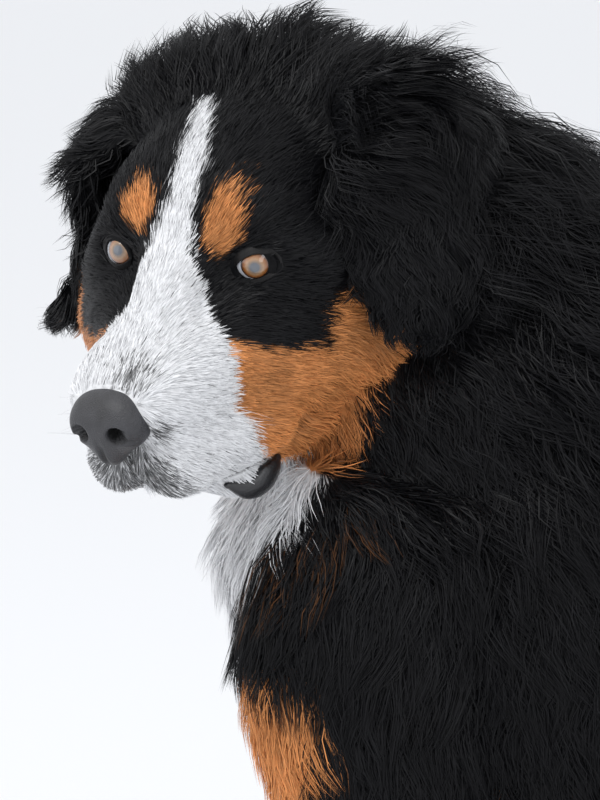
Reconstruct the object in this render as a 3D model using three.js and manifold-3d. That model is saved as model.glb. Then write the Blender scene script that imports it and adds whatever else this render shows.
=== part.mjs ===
// A Bernese mountain dog, life-size and sitting upright, with its head turned to its own left.
// Millimetres, +Z up. The dog's chest faces -Y, its left side is +X and its feet stand on z = 0.
// Each part of the body is one closed solid. The long coat is built as flat, tapered locks that lie
// over a core of flesh and undercoat, and the parts meet with a thin gap between them.
import * as THREE from "three";
import { mergeVertices } from "three/addons/utils/BufferGeometryUtils.js";
import Module from "manifold-3d";

const wasm = await Module();
wasm.setup();

// Driving dimensions
const CORE_GAP = 0.4; // between the cores of two parts
const EAR_GAP = 2; // round the thin, hollow ears
const LOCK_GAP = 0.3; // between a lock and another part
const SIDES = { left: 1, right: -1 };
const V = (x, y, z) => new THREE.Vector3(x, y, z);
const degrees = THREE.MathUtils.degToRad;
const mix = THREE.MathUtils.lerp;

// The head's own frame: X forward along the muzzle, Y to the dog's left, Z up, from the point between the eyes
const HEAD = { x: 110, y: -105, z: 665, turn: 60.9, nod: 18.4, tilt: 1.9 };
const headFrame = new THREE.Matrix4().compose(
  V(HEAD.x, HEAD.y, HEAD.z),
  new THREE.Quaternion().setFromEuler(
    new THREE.Euler(degrees(HEAD.tilt), degrees(HEAD.nod), degrees(HEAD.turn - 90), "ZYX"),
  ),
  V(1, 1, 1),
);
const inHead = (x, y, z) => V(x, y, z).applyMatrix4(headFrame);

// Eyes, ears, nose and mouth in the head's frame
const EYE = { x: -10, y: 44, z: 0, radius: 11.5, outward: 16 };
const LID = { width: 25, height: 14.5 };
const MUZZLE_TIP = 112;

// Coat: how far the core, which is flesh and undercoat, and the tips of the locks stand off the skin
const COAT = {
  neck: { core: 24, tips: 52 },
  torso: { core: 16, tips: 38 },
  tail: { core: 14, tips: 40 },
};

// Colours of the coat and of the bare parts
const material = (color, roughness, metalness = 0) =>
  new THREE.MeshStandardMaterial({ color, roughness, metalness });
const BLACK_COAT = material(0x17171a, 0.75);
const TAN_COAT = material(0xb5692f, 0.8);
const WHITE_COAT = material(0xe9e8e6, 0.8);
const NOSE_LEATHER = material(0x2b2b2e, 0.45);
const AMBER_EYE = material(0xb07a3c, 0.12);

// A closed triangle geometry as a solid, with its faces turned outwards
function solidOf(geometry) {
  const bare = new THREE.BufferGeometry().setAttribute("position", geometry.getAttribute("position"));
  if (geometry.index) bare.setIndex(geometry.index);
  const merged = mergeVertices(bare, 1e-4);
  const vertProperties = new Float32Array(merged.attributes.position.array);
  const triVerts = new Uint32Array(merged.index.array);
  const build = () => new wasm.Manifold(new wasm.Mesh({ numProp: 3, vertProperties, triVerts }));
  const made = build();
  if (made.volume() >= 0) return made;
  for (let i = 0; i < triVerts.length; i += 3) {
    [triVerts[i + 1], triVerts[i + 2]] = [triVerts[i + 2], triVerts[i + 1]];
  }
  return build();
}

const unite = (solids) => wasm.Manifold.union(solids);
const largest = (solid) => solid.decompose().reduce((a, b) => (a.volume() > b.volume() ? a : b));

// A surface through rings of points, closed at both ends by a fan
function skinned(rings, first, last) {
  const around = rings[0].length;
  const points = [...rings.flat(), first, last];
  const index = [];
  for (let i = 0; i + 1 < rings.length; i += 1) {
    for (let j = 0; j < around; j += 1) {
      const a = i * around + j;
      const b = i * around + ((j + 1) % around);
      index.push(a, b, a + around, b, b + around, a + around);
    }
  }
  const foot = (rings.length - 1) * around;
  for (let j = 0; j < around; j += 1) {
    const next = (j + 1) % around;
    index.push(points.length - 2, next, j, points.length - 1, foot + j, foot + next);
  }
  const positions = new Float32Array(points.flatMap((p) => p.toArray()));
  return new THREE.BufferGeometry()
    .setAttribute("position", new THREE.BufferAttribute(positions, 3))
    .setIndex(index);
}

// A value that runs smoothly through a row of values, at a share from 0 to 1 of the way
function along(values, share) {
  const at = THREE.MathUtils.clamp(share, 0, 1) * (values.length - 1);
  const i = Math.min(Math.floor(at), values.length - 2);
  const t = at - i;
  const before = values[Math.max(i - 1, 0)];
  const after = values[Math.min(i + 2, values.length - 1)];
  const slopeIn = (values[i + 1] - before) / 2;
  const slopeOut = (after - values[i]) / 2;
  const gap = values[i + 1] - values[i];
  return values[i] + t * (slopeIn + t * (3 * gap - 2 * slopeIn - slopeOut + t * (slopeIn + slopeOut - 2 * gap)));
}

// A limb or trunk: stations of [centre, half-width, size above, size below], each square to the path.
// "up" points the way that "above" is measured, or else "across" points along the width, and cup
// bends a flat section like a leaf.
function limb({ stations, up, across, rings, around, ends = [0, 0], cup = 0, extra = 0 }) {
  const path = new THREE.CatmullRomCurve3(stations.map((s) => s[0]), false, "centripetal");
  const frame = (share) => {
    const tangent = path.getTangent(THREE.MathUtils.clamp(share, 0.001, 0.999));
    const guide = across ? across.clone().cross(tangent) : up;
    const above = guide.clone().addScaledVector(tangent, -guide.dot(tangent)).normalize();
    return { tangent, above, side: tangent.clone().cross(above) };
  };
  const size = (share, k) => along(stations.map((s) => s[k]), share);
  const point = (share, angle, grow = 0, scale = 1) => {
    const inside = THREE.MathUtils.clamp(share, 0, 1);
    const { tangent, above, side } = frame(inside);
    const centre = path.getPoint(inside);
    const past = (share - inside) * path.getLength();
    const width = Math.cos(angle) * (scale * size(inside, 1) + extra + grow);
    const height = Math.sin(angle) * (scale * size(inside, Math.sin(angle) > 0 ? 2 : 3) + extra + grow);
    const bent = Math.cos(angle) ** 2 * (cup * scale ** 2 + (cup > 0 ? 0.7 * grow : 0));
    return centre
      .addScaledVector(tangent, past)
      .addScaledVector(side, width)
      .addScaledVector(above, height - bent);
  };
  const normal = (share, angle) => {
    const step = 0.01;
    const alongPath = point(share + step, angle).sub(point(share - step, angle));
    const round = point(share, angle + step).sub(point(share, angle - step));
    const out = alongPath.cross(round).normalize();
    const fromCentre = point(share, angle).sub(path.getPoint(THREE.MathUtils.clamp(share, 0, 1)));
    return out.dot(fromCentre) < 0 ? out.negate() : out;
  };
  const geometry = (grow = 0) => {
    const CAP_STEPS = 2;
    const rows = [];
    const ring = (share, scale, shift) => {
      const { tangent } = frame(share);
      return Array.from({ length: around }, (_, j) =>
        point(share, (j / around) * 2 * Math.PI, grow, scale).addScaledVector(tangent, shift),
      );
    };
    for (let k = CAP_STEPS; k > 0 && ends[0] > 0; k -= 1) {
      const lean = (k / (CAP_STEPS + 0.5)) * (Math.PI / 2);
      rows.push(ring(0, Math.cos(lean), -Math.sin(lean) * (ends[0] + grow)));
    }
    for (let i = 0; i <= rings; i += 1) rows.push(ring(i / rings, 1, 0));
    for (let k = 1; k <= CAP_STEPS && ends[1] > 0; k += 1) {
      const lean = (k / (CAP_STEPS + 0.5)) * (Math.PI / 2);
      rows.push(ring(1, Math.cos(lean), Math.sin(lean) * (ends[1] + grow)));
    }
    const first = path.getPoint(0).addScaledVector(frame(0).tangent, -(ends[0] + grow));
    const last = path.getPoint(1).addScaledVector(frame(1).tangent, ends[1] + grow);
    return skinned(rows, first, last);
  };
  return { path, frame, point, normal, geometry, solid: (grow = 0) => solidOf(geometry(grow)) };
}

// A seeded source of chance, so that the coat is the same every time
function chance(seed) {
  let state = seed;
  return () => {
    state = (state * 16807) % 2147483647;
    return state / 2147483647;
  };
}

// One lock of the coat: a flat blade that is rooted under the surface, swells, bends and tapers to a tip.
// It is a row of four-cornered sections, and growing it moves each of its faces out by the same distance.
function lock({ root, lie, out, length, width, thick, rise, sway }) {
  const side = lie.clone().cross(out).normalize();
  const swell = [0.6, 1, 0.7];
  const spine = (t) =>
    root
      .clone()
      .addScaledVector(lie, length * (t - 0.1))
      .addScaledVector(out, rise * t ** 1.2 - thick * 0.6 * (1 - t))
      .addScaledVector(side, sway * t ** 2);
  return (grow = 0) => {
    const rows = swell.map((part, i) => {
      const [a, b] = [(width / 2) * part, (thick / 2) * part];
      const slant = Math.hypot(a, b);
      const centre = spine(i / swell.length).addScaledVector(lie, i ? 0 : -grow);
      const [wide, high] = [a + (grow * slant) / b, b + (grow * slant) / a];
      return [[wide, 0], [0, high], [-wide, 0], [0, -high]].map(([across, up]) =>
        centre.clone().addScaledVector(side, across).addScaledVector(out, up),
      );
    });
    const foot = spine(0).addScaledVector(lie, -2 * grow - 2);
    const tip = spine(1).addScaledVector(lie, grow * 5);
    return solidOf(skinned(rows, foot, tip));
  };
}

// Tiers of locks over part of a limb, each lock lying back along it and hanging a little
function coat(limbPart, { seed, shares, count, from = 0, to = 360, length, width, thick, rise, droop }) {
  const random = chance(seed);
  const locks = [];
  shares.forEach((share, tier) => {
    for (let i = 0; i < count; i += 1) {
      const turn = from + ((to - from) * (i + 0.25 + 0.5 * (tier % 2) + 0.2 * (random() - 0.5))) / count;
      const at = share + 0.03 * (random() - 0.5);
      const out = limbPart.normal(at, degrees(turn));
      const lie = limbPart.frame(at).tangent.clone().addScaledVector(V(0, 0, -1), droop);
      lie.addScaledVector(out, -lie.dot(out)).normalize();
      const size = 0.85 + 0.3 * random();
      locks.push(
        lock({
          root: limbPart.point(at, degrees(turn)),
          lie,
          out,
          length: length * size,
          width: width * size,
          thick,
          rise: rise * (0.8 + 0.35 * random()),
          sway: width * 0.6 * (random() - 0.5),
        }),
      );
    }
  });
  return locks;
}

// A rounded mass in the head: an egg by its centre and radii, or a rod between two balls.
// One that stands off the middle line is there on both sides.
const egg = (centre, radii, lean = 0) => ({ centre, radii, lean: degrees(lean) });
const rod = (from, to, r1, r2) => ({ from, to, r1, r2 });

function distanceTo(mass, x, y, z) {
  if (mass.radii) {
    const [cx, cy, cz] = mass.centre;
    const [dx, dz] = [x - cx, z - cz];
    const [c, s] = [Math.cos(mass.lean), Math.sin(mass.lean)];
    const [px, py, pz] = [c * dx - s * dz, y - cy, s * dx + c * dz];
    const [rx, ry, rz] = mass.radii;
    const k0 = Math.hypot(px / rx, py / ry, pz / rz);
    const k1 = Math.hypot(px / rx ** 2, py / ry ** 2, pz / rz ** 2);
    return k1 > 0 ? (k0 * (k0 - 1)) / k1 : -Math.min(rx, ry, rz);
  }
  const [a, b] = [V(...mass.from), V(...mass.to)];
  const ab = b.clone().sub(a);
  const p = V(x, y, z).sub(a);
  const t = THREE.MathUtils.clamp(p.dot(ab) / ab.lengthSq(), 0, 1);
  return p.addScaledVector(ab, -t).length() - mix(mass.r1, mass.r2, t);
}

// How far a point is outside a group of masses that melt into one another
function blended(masses, melt, x, y, z) {
  let d = 1e3;
  for (const mass of masses) {
    const next = distanceTo(mass, x, Math.abs(y), z);
    const h = Math.max(melt - Math.abs(d - next), 0) / melt;
    d = Math.min(d, next) - (h * h * melt) / 4;
  }
  return d;
}

// A closed shell round a group of masses, found by rays sent out from a line through them
function cast({ masses, melt, from, to, rings, caps, around, reach }) {
  const [a, b] = [V(...from), V(...to)];
  const geometry = (grow = 0) => {
    const hit = (origin, direction) => {
      let far = reach;
      for (let k = 0; k < 90 && far > 0; k += 1) {
        const p = origin.clone().addScaledVector(direction, far);
        const d = blended(masses, melt, p.x, p.y, p.z) - grow;
        if (d < 0.02) break;
        far -= Math.max(d * 0.8, 0.02);
      }
      return origin.clone().addScaledVector(direction, far);
    };
    const forward = b.clone().sub(a).normalize();
    const rows = [];
    const ring = (origin, lean) =>
      Array.from({ length: around }, (_, j) => {
        const turn = (j / around) * 2 * Math.PI;
        const round = V(0, Math.cos(turn), Math.sin(turn));
        return hit(origin, forward.clone().multiplyScalar(Math.sin(lean)).addScaledVector(round, Math.cos(lean)).normalize());
      });
    for (let k = caps; k > 0; k -= 1) rows.push(ring(a, -(k / (caps + 0.6)) * (Math.PI / 2)));
    for (let i = 0; i <= rings; i += 1) rows.push(ring(a.clone().lerp(b, i / rings), 0));
    for (let k = 1; k <= caps; k += 1) rows.push(ring(b, (k / (caps + 0.6)) * (Math.PI / 2)));
    return skinned(rows, hit(a, forward.clone().negate()), hit(b, forward)).applyMatrix4(headFrame);
  };
  return { solid: (grow = 0) => solidOf(geometry(grow)) };
}

// Head: skull, brows, cheeks, jaw muscles, bridge of the nose and flews
const skullMasses = [
  egg([-74, 0, 10], [80, 68, 50]),
  egg([-30, 28, 18], [34, 28, 24]),
  egg([-15, 44, 0], [17, 19, 17]),
  egg([-46, 54, -18], [46, 30, 32]),
  egg([-72, 52, -58], [54, 40, 50]),
  egg([-88, 58, -56], [46, 44, 56]),
  egg([-124, 0, -4], [54, 64, 80]),
  rod([-10, 0, 2], [92, 0, -48], 27, 22),
  rod([18, 33, -76], [76, 20, -80], 29, 25),
  egg([46, 24, -50], [58, 28, 30], -8),
  egg([-10, 32, -44], [44, 36, 36]),
];
const skull = cast({
  masses: skullMasses,
  melt: 16,
  from: [-120, 0, -10],
  to: [84, 0, -52],
  rings: 16,
  caps: 4,
  around: 22,
  reach: 170,
});
const jawMasses = [
  rod([-58, 36, -96], [34, 24, -104], 24, 15),
  rod([34, 20, -104], [66, 8, -101], 15, 12),
  egg([-34, 0, -98], [60, 38, 26]),
  rod([8, 43, -97], [46, 34, -108], 7, 6),
];
const jaw = cast({
  masses: jawMasses,
  melt: 14,
  from: [-50, 0, -94],
  to: [62, 0, -98],
  rings: 7,
  caps: 2,
  around: 14,
  reach: 90,
});

// Nose leather: a broad pad with a wing over each nostril
const noseMasses = [
  egg([99, 0, -50], [18, 21, 19]),
  egg([100, 14, -50], [15, 12, 14]),
  egg([93, 0, -39], [16, 20, 11]),
  egg([105, 0, -64], [10, 9, 12]),
];
const nosePad = cast({
  masses: noseMasses,
  melt: 8,
  from: [95, 0, -51],
  to: [101, 0, -51],
  rings: 1,
  caps: 4,
  around: 14,
  reach: 60,
});
const NOSTRIL = { x: 113, y: 12, z: -52, radii: [9, 4.8, 4.4] };

function ball([rx, ry, rz], centre, columns = 12, rows = 8) {
  return new THREE.SphereGeometry(1, columns, rows).scale(rx, ry, rz).translate(...centre);
}

// An eyeball, the socket round it and the almond opening between the lids
function eyeParts(side) {
  const outward = degrees(EYE.outward) * side;
  const place = new THREE.Matrix4()
    .makeRotationZ(outward)
    .setPosition(EYE.x, EYE.y * side, EYE.z)
    .premultiply(headFrame);
  const opening = new THREE.Shape();
  const [half, rise] = [LID.width / 2, LID.height];
  opening.moveTo(-half, -2);
  opening.quadraticCurveTo(0, rise - 1, half, 1);
  opening.quadraticCurveTo(0, -rise, -half, -2);
  const slot = new THREE.ExtrudeGeometry(opening, { depth: 40, bevelEnabled: false, curveSegments: 5 });
  slot.applyMatrix4(new THREE.Matrix4().makeBasis(V(0, side, 0), V(0, 0, 1), V(1, 0, 0)));
  const round = (radius) => new THREE.SphereGeometry(radius, 14, 9);
  return {
    eyeball: solidOf(round(EYE.radius).applyMatrix4(place)),
    socket: solidOf(round(EYE.radius + CORE_GAP).applyMatrix4(place)),
    slot: solidOf(slot.applyMatrix4(place)),
  };
}

// A hanging ear: a leaf that springs from the side of the skull, folds over and hangs, hollow towards the head.
// The left one lies on the neck, and the right one swings clear of the cheek and opens forward.
function ear(side) {
  const free = side > 0 ? 0 : 1;
  const stations = [
    [[-94, 40, 36], 18, 9, 9],
    [[-104, 74, 60], 40, 9, 9],
    [[-97, 101 + 5 * free, 41], 50, 7, 7],
    [[-85, 110 - 2 * free, -2], 53, 6, 6],
    [[-67, 118 - 4 * free, -45], 48, 5, 5],
    [[-53, 118 + 12 * free, -73], 24, 4, 4],
  ].map(([[x, y, z], ...sizes]) => [inHead(x, y * side, z), ...sizes]);
  const turned = (0.45 - 0.4 * free) * side;
  const across = inHead(0.89, -turned, 0.05).sub(inHead(0, 0, 0)).normalize().multiplyScalar(side);
  return limb({ stations, across, rings: 12, around: 12, ends: [4, 9], cup: 12 });
}

// Neck: from the back of the skull down to the withers and the chest
const skinNeck = [
  [inHead(-104, 0, -14), 44, 108, 26],
  [V(11, -21, 652), 60, 102, 72],
  [V(0, 20, 608), 84, 104, 112],
  [V(0, 62, 548), 98, 108, 128],
  [V(0, 96, 490), 80, 80, 80],
];
const neck = limb({
  stations: skinNeck,
  up: V(0, 0.7, 0.7),
  rings: 6,
  around: 16,
  ends: [16, 0],
  extra: COAT.neck.core,
});

// Torso: from the base of the neck down the sloping back to the rump
const skinTorso = [
  [V(0, 12, 560), 66, 60, 112],
  [V(0, 40, 520), 104, 112, 146],
  [V(0, 96, 462), 124, 134, 160],
  [V(0, 172, 384), 128, 128, 130],
  [V(0, 262, 282), 114, 110, 104],
  [V(0, 340, 185), 110, 100, 86],
  [V(0, 408, 112), 84, 66, 60],
];
const torso = limb({
  stations: skinTorso,
  up: V(0, 0.75, 0.66),
  rings: 9,
  around: 18,
  ends: [20, 26],
  extra: COAT.torso.core,
});

// Paw: a pad of a foot with four arched toes and their claws, pointing to -Y
const PAW = { width: 78, length: 92, toeRadius: 15, claw: 13 };
function paw(centre, turn) {
  const place = new THREE.Matrix4().makeRotationZ(turn).setPosition(centre);
  const pieces = [ball([PAW.width / 2 - 4, 42, 28], [0, 4, 21], 12, 6)];
  const toes = [-1.5, -0.5, 0.5, 1.5];
  for (const toe of toes) {
    const outer = Math.abs(toe) > 1;
    const x = toe * PAW.width * 0.235;
    const tip = outer ? -36 : -50;
    const fan = toe * 2.5;
    const stations = [
      [V(x * 0.9, tip + 36, 28), 13, 13, 16],
      [V(x + fan * 0.4, tip + 16, 28), PAW.toeRadius, 14, 31],
      [V(x + fan, tip, 15), 13, 11, 17],
    ];
    pieces.push(limb({ stations, up: V(0, 0, 1), rings: 2, around: 7, ends: [0, 8] }).geometry());
    const claw = new THREE.ConeGeometry(4.2, PAW.claw + 8, 6);
    claw.rotateX(degrees(112)).translate(x + fan * 1.2, tip - PAW.claw + 1, 11);
    pieces.push(claw);
  }
  return pieces.map((g) => solidOf(g.applyMatrix4(place)));
}

// Foreleg: shoulder, elbow, wrist and paw, nearly upright under the shoulder
const FORELEG_X = 104;
function foreleg(side) {
  const stations = [
    [V(84 * side, 34, 520), 34, 84, 66],
    [V(100 * side, 8, 440), 44, 84, 70],
    [V(110 * side, 10, 350), 43, 66, 60],
    [V(108 * side, 0, 250), 37, 40, 45],
    [V(FORELEG_X * side, -14, 150), 34, 35, 37],
    [V(FORELEG_X * side, -22, 90), 33, 34, 33],
    [V(FORELEG_X * side, -36, 44), 32, 30, 28],
  ];
  return limb({ stations, up: V(0, -1, 0), rings: 9, around: 12, ends: [0, 12] });
}

// Hind leg: the folded thigh, the shank back down to the hock, and the long foot flat on the floor
function hindleg(side) {
  const thigh = limb({
    stations: [
      [V(66 * side, 372, 176), 40, 96, 92],
      [V(112 * side, 318, 186), 58, 104, 96],
      [V(140 * side, 246, 196), 56, 88, 84],
      [V(152 * side, 182, 204), 46, 62, 60],
    ],
    up: V(0, 0.3, 0.95),
    rings: 5,
    around: 12,
    ends: [20, 34],
  });
  const shank = limb({
    stations: [
      [V(152 * side, 190, 190), 42, 46, 46],
      [V(148 * side, 262, 128), 38, 40, 42],
      [V(140 * side, 330, 74), 28, 28, 32],
      [V(136 * side, 366, 42), 24, 26, 24],
    ],
    up: V(0, 0.7, 0.7),
    rings: 4,
    around: 10,
    ends: [10, 12],
  });
  const foot = limb({
    stations: [
      [V(136 * side, 370, 30), 25, 26, 33],
      [V(140 * side, 300, 28), 26, 24, 31],
      [V(146 * side, 220, 28), 30, 24, 31],
    ],
    up: V(0, 0, 1),
    rings: 3,
    around: 10,
    ends: [14, 10],
  });
  return { thigh, shank, foot };
}

// Tail: leaves the rump low down and lies on the floor, curling to the dog's left
const skinTail = [
  [V(0, 400, 104), 26, 26, 26],
  [V(4, 470, 72), 24, 24, 26],
  [V(26, 548, 40), 22, 20, 32],
  [V(78, 612, 32), 20, 18, 34],
  [V(150, 650, 30), 17, 16, 34],
  [V(222, 656, 28), 10, 10, 34],
];
const tail = limb({
  stations: skinTail,
  up: V(0, 0, 1),
  rings: 9,
  around: 10,
  ends: [0, 48],
  extra: COAT.tail.core - 4,
});

// Everything below the floor is cut away, so that what rests on it is flat
const FLOOR_SLAB = solidOf(new THREE.BoxGeometry(2000, 3000, 200).translate(0, 300, -100));

// Cores, in the order in which one gives way to another: an earlier core keeps its shape
const sides = Object.entries(SIDES);
const eyes = Object.fromEntries(sides.map(([name, side]) => [name, eyeParts(side)]));
const ears = Object.fromEntries(sides.map(([name, side]) => [name, ear(side)]));
const forelegs = Object.fromEntries(sides.map(([name, side]) => [name, foreleg(side)]));
const hindlegs = Object.fromEntries(sides.map(([name, side]) => [name, hindleg(side)]));

const nostrils = sides.map(([, side]) =>
  solidOf(ball(NOSTRIL.radii, [NOSTRIL.x, NOSTRIL.y * side, NOSTRIL.z]).applyMatrix4(headFrame)),
);
const philtrum = solidOf(
  new THREE.CylinderGeometry(1.6, 1.6, 60, 8).rotateX(Math.PI / 2).translate(MUZZLE_TIP, 0, -82).applyMatrix4(headFrame),
);

const cores = {
  nose: (grow) => nosePad.solid(grow),
  head: (grow) => skull.solid(grow),
  lower_jaw: (grow) => jaw.solid(grow),
  ear_left: (grow) => ears.left.solid(grow),
  ear_right: (grow) => ears.right.solid(grow),
  torso: (grow) => torso.solid(grow),
  neck: (grow) => neck.solid(grow),
  foreleg_left: (grow) => unite([forelegs.left.solid(grow), ...paw(V(FORELEG_X, -52, 0), 0)]),
  foreleg_right: (grow) => unite([forelegs.right.solid(grow), ...paw(V(-FORELEG_X, -52, 0), 0)]),
  hindleg_left: (grow) =>
    unite([...Object.values(hindlegs.left).map((p) => p.solid(grow)), ...paw(V(150, 176, 0), degrees(-6))]),
  hindleg_right: (grow) =>
    unite([...Object.values(hindlegs.right).map((p) => p.solid(grow)), ...paw(V(-150, 176, 0), degrees(6))]),
  tail: (grow) => tail.solid(grow),
};

// The coat of each part that has one: length, width and thickness of a lock, and how far its tip rises
const rise = (part) => part.tips - part.core;
const neckLocks = { length: 140, width: 78, thick: 15, rise: rise(COAT.neck), droop: 0.15 };
const coats = {
  ear_left: coat(ears.left, {
    seed: 11, shares: [0.36, 0.62], count: 2, from: 20, to: 160, length: 62, width: 30, thick: 7, rise: 5, droop: 0.2,
  }),
  ear_right: coat(ears.right, {
    seed: 12, shares: [0.36, 0.62], count: 2, from: 200, to: 340, length: 62, width: 30, thick: 7, rise: 13, droop: 0.2,
  }),
  torso: coat(torso, {
    seed: 21, shares: [0.32, 0.5, 0.68, 0.86], count: 7, length: 135, width: 80, thick: 15, rise: rise(COAT.torso), droop: 0.25,
  }),
  neck: [
    ...coat(neck, { ...neckLocks, seed: 31, shares: [0.04, 0.27], count: 6, from: 45, to: 315 }),
    ...coat(neck, { ...neckLocks, seed: 32, shares: [0.52], count: 7 }),
  ],
  foreleg_left: coat(forelegs.left, {
    seed: 41, shares: [0.45, 0.66], count: 2, from: 225, to: 315, length: 62, width: 32, thick: 10, rise: 16, droop: 0,
  }),
  foreleg_right: coat(forelegs.right, {
    seed: 42, shares: [0.45, 0.66], count: 2, from: 225, to: 315, length: 62, width: 32, thick: 10, rise: 16, droop: 0,
  }),
  hindleg_left: coat(hindlegs.left.thigh, {
    seed: 51, shares: [0.25, 0.5], count: 3, from: 200, to: 345, length: 80, width: 52, thick: 13, rise: 16, droop: 0.9,
  }),
  hindleg_right: coat(hindlegs.right.thigh, {
    seed: 52, shares: [0.25, 0.5], count: 3, from: 195, to: 340, length: 80, width: 52, thick: 13, rise: 16, droop: 0.9,
  }),
  tail: coat(tail, {
    seed: 61, shares: [0.2, 0.48, 0.76], count: 4, from: -20, to: 200, length: 95, width: 44, thick: 12, rise: 12, droop: 0.1,
  }),
};

const order = Object.keys(cores);
const grown = Object.fromEntries(order.map((name) => [name, cores[name](name.startsWith("ear") ? EAR_GAP : CORE_GAP)]));
const grownCoats = Object.fromEntries(
  Object.entries(coats).map(([name, blades]) => [name, unite(blades.map((blade) => blade(LOCK_GAP)))]),
);
const nodes = {};
order.forEach((name, i) => {
  const before = order.slice(0, i).flatMap((other) => [grown[other], nodes[other]]);
  let solid = cores[name](0);
  for (const other of before) solid = solid.subtract(other);
  if (name === "head") {
    for (const [s] of sides) solid = solid.subtract(eyes[s].socket).subtract(eyes[s].slot);
    solid = solid.subtract(philtrum);
  }
  if (name === "nose") {
    for (const hole of nostrils) solid = solid.subtract(hole);
    solid = solid.subtract(philtrum);
  }
  if (coats[name]) {
    let locks = unite(coats[name].map((blade) => blade()));
    for (const other of order.filter((o) => o !== name)) locks = locks.subtract(grown[other]);
    for (const other of order.slice(0, i)) locks = locks.subtract(nodes[other]);
    for (const other of order.slice(0, i).filter((o) => coats[o])) locks = locks.subtract(grownCoats[other]);
    solid = unite([solid, locks]);
  }
  nodes[name] = largest(solid.subtract(FLOOR_SLAB));
});
nodes.eye_left = eyes.left.eyeball;
nodes.eye_right = eyes.right.eyeball;

const looks = {
  nose: NOSE_LEATHER,
  lower_jaw: WHITE_COAT,
  eye_left: AMBER_EYE,
  eye_right: AMBER_EYE,
};

// The finished model
const dog = new THREE.Group();
for (const [name, solid] of Object.entries(nodes)) {
  const made = solid.getMesh();
  const geometry = new THREE.BufferGeometry()
    .setAttribute("position", new THREE.BufferAttribute(new Float32Array(made.vertProperties), 3))
    .setIndex(new THREE.BufferAttribute(new Uint32Array(made.triVerts), 1));
  geometry.computeVertexNormals();
  const mesh = new THREE.Mesh(geometry, looks[name] ?? BLACK_COAT);
  mesh.name = name;
  dog.add(mesh);
}

// Its origin is on the floor, under the middle of its bounding box
const bounds = new THREE.Box3().setFromObject(dog, true);
const origin = bounds.getCenter(V(0, 0, 0)).setZ(bounds.min.z);
for (const mesh of dog.children) mesh.geometry.translate(-origin.x, -origin.y, -origin.z);

export default dog;
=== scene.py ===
# %% [markdown]
# # A sitting Bernese mountain dog
# A life-size, still model of a big, long-coated dog that sits up and looks round to its left.
# The solid model gives the size and the place of every part of the body. Here the dog gets one
# continuous skin, real eyes, lids, a nose, claws, and a coat of many thousands of fine tufts.

import bpy
import math
import numpy as np
from mathutils import Matrix, Vector, kdtree


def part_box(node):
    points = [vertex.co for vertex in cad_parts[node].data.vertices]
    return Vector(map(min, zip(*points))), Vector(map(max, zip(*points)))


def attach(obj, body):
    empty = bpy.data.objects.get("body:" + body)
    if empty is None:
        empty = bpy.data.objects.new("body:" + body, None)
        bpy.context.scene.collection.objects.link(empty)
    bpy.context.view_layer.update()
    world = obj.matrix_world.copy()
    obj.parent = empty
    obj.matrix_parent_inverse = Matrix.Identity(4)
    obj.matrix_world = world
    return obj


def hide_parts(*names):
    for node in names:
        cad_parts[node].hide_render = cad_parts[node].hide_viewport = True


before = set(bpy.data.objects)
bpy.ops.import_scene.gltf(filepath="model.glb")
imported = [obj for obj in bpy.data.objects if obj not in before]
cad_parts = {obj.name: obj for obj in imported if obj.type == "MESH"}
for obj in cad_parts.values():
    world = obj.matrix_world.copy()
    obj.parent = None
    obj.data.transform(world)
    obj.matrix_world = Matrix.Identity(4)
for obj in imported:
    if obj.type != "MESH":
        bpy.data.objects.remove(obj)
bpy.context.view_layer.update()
chance = np.random.default_rng(20)
print("nodes", sorted(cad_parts))

# %% [markdown]
# ## The dog's own frame
# All sizes are in millimetres in a frame whose middle plane is x = 0, with the chest facing -Y.
# The head turns away from that, so it has a frame of its own: f forward, l to the dog's left and
# u up, from the point between the eyes. One eye of the solid model ties these frames to the scene.

# %% The head's frame and the scene's frame
HEAD_AT = np.array([110.0, -105.0, 665.0])
TURN, NOD, TILT = (math.radians(a) for a in (60.9 - 90, 18.4, 1.9))
HEAD_AXES = np.array(
    Matrix.Rotation(TURN, 3, "Z") @ Matrix.Rotation(NOD, 3, "Y") @ Matrix.Rotation(TILT, 3, "X")
)
EYE = {"f": -10.0, "l": 44.0, "u": 0.0, "outward": 16}
EYEBALL = {"f": -8.4, "l": 43.1, "u": -1.7, "radius": 12.8}


def out_of_head(points):
    return HEAD_AT + np.asarray(points, float) @ HEAD_AXES.T


def into_head(points):
    return (np.asarray(points, float) - HEAD_AT) @ HEAD_AXES


low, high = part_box("eye_left")
EYE_SEEN = np.array((Vector(low) + Vector(high)) / 2) * 1000
SHIFT = EYE_SEEN - out_of_head([EYE["f"], EYE["l"], EYE["u"]])
print("scene origin is at", np.round(-SHIFT, 1))


def to_scene(points):
    return (np.asarray(points, float) + SHIFT) * 0.001


# %% [markdown]
# ## Camera
# The picture was taken from the dog's left, a little above its eyes, with a long lens. The
# camera's distance and lens come from the spacing of the eyes, the nose and the mouth.

# %% Set the camera
AZIMUTH, ELEVATION = math.radians(92), math.radians(12)
back = Vector((
    math.sin(AZIMUTH) * math.cos(ELEVATION),
    -math.cos(AZIMUTH) * math.cos(ELEVATION),
    math.sin(ELEVATION),
))
right = Vector((math.cos(AZIMUTH), math.sin(AZIMUTH), 0))
upward = back.cross(right)
DISTANCE, FRAME_HEIGHT = 2200, 452.7
aim = Vector(HEAD_AT) + 65.5 * right - 80.4 * upward
camera = bpy.data.objects.new("camera", bpy.data.cameras.new("camera"))
bpy.context.scene.collection.objects.link(camera)
camera.data.lens = 36 * DISTANCE / FRAME_HEIGHT
camera.location = Vector(to_scene(aim + DISTANCE * back))
camera.rotation_euler = (-back).to_track_quat("-Z", "Y").to_euler()
camera.data.clip_start, camera.data.clip_end = 0.05, 50
bpy.context.scene.camera = camera
print("lens", round(camera.data.lens, 1))

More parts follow.
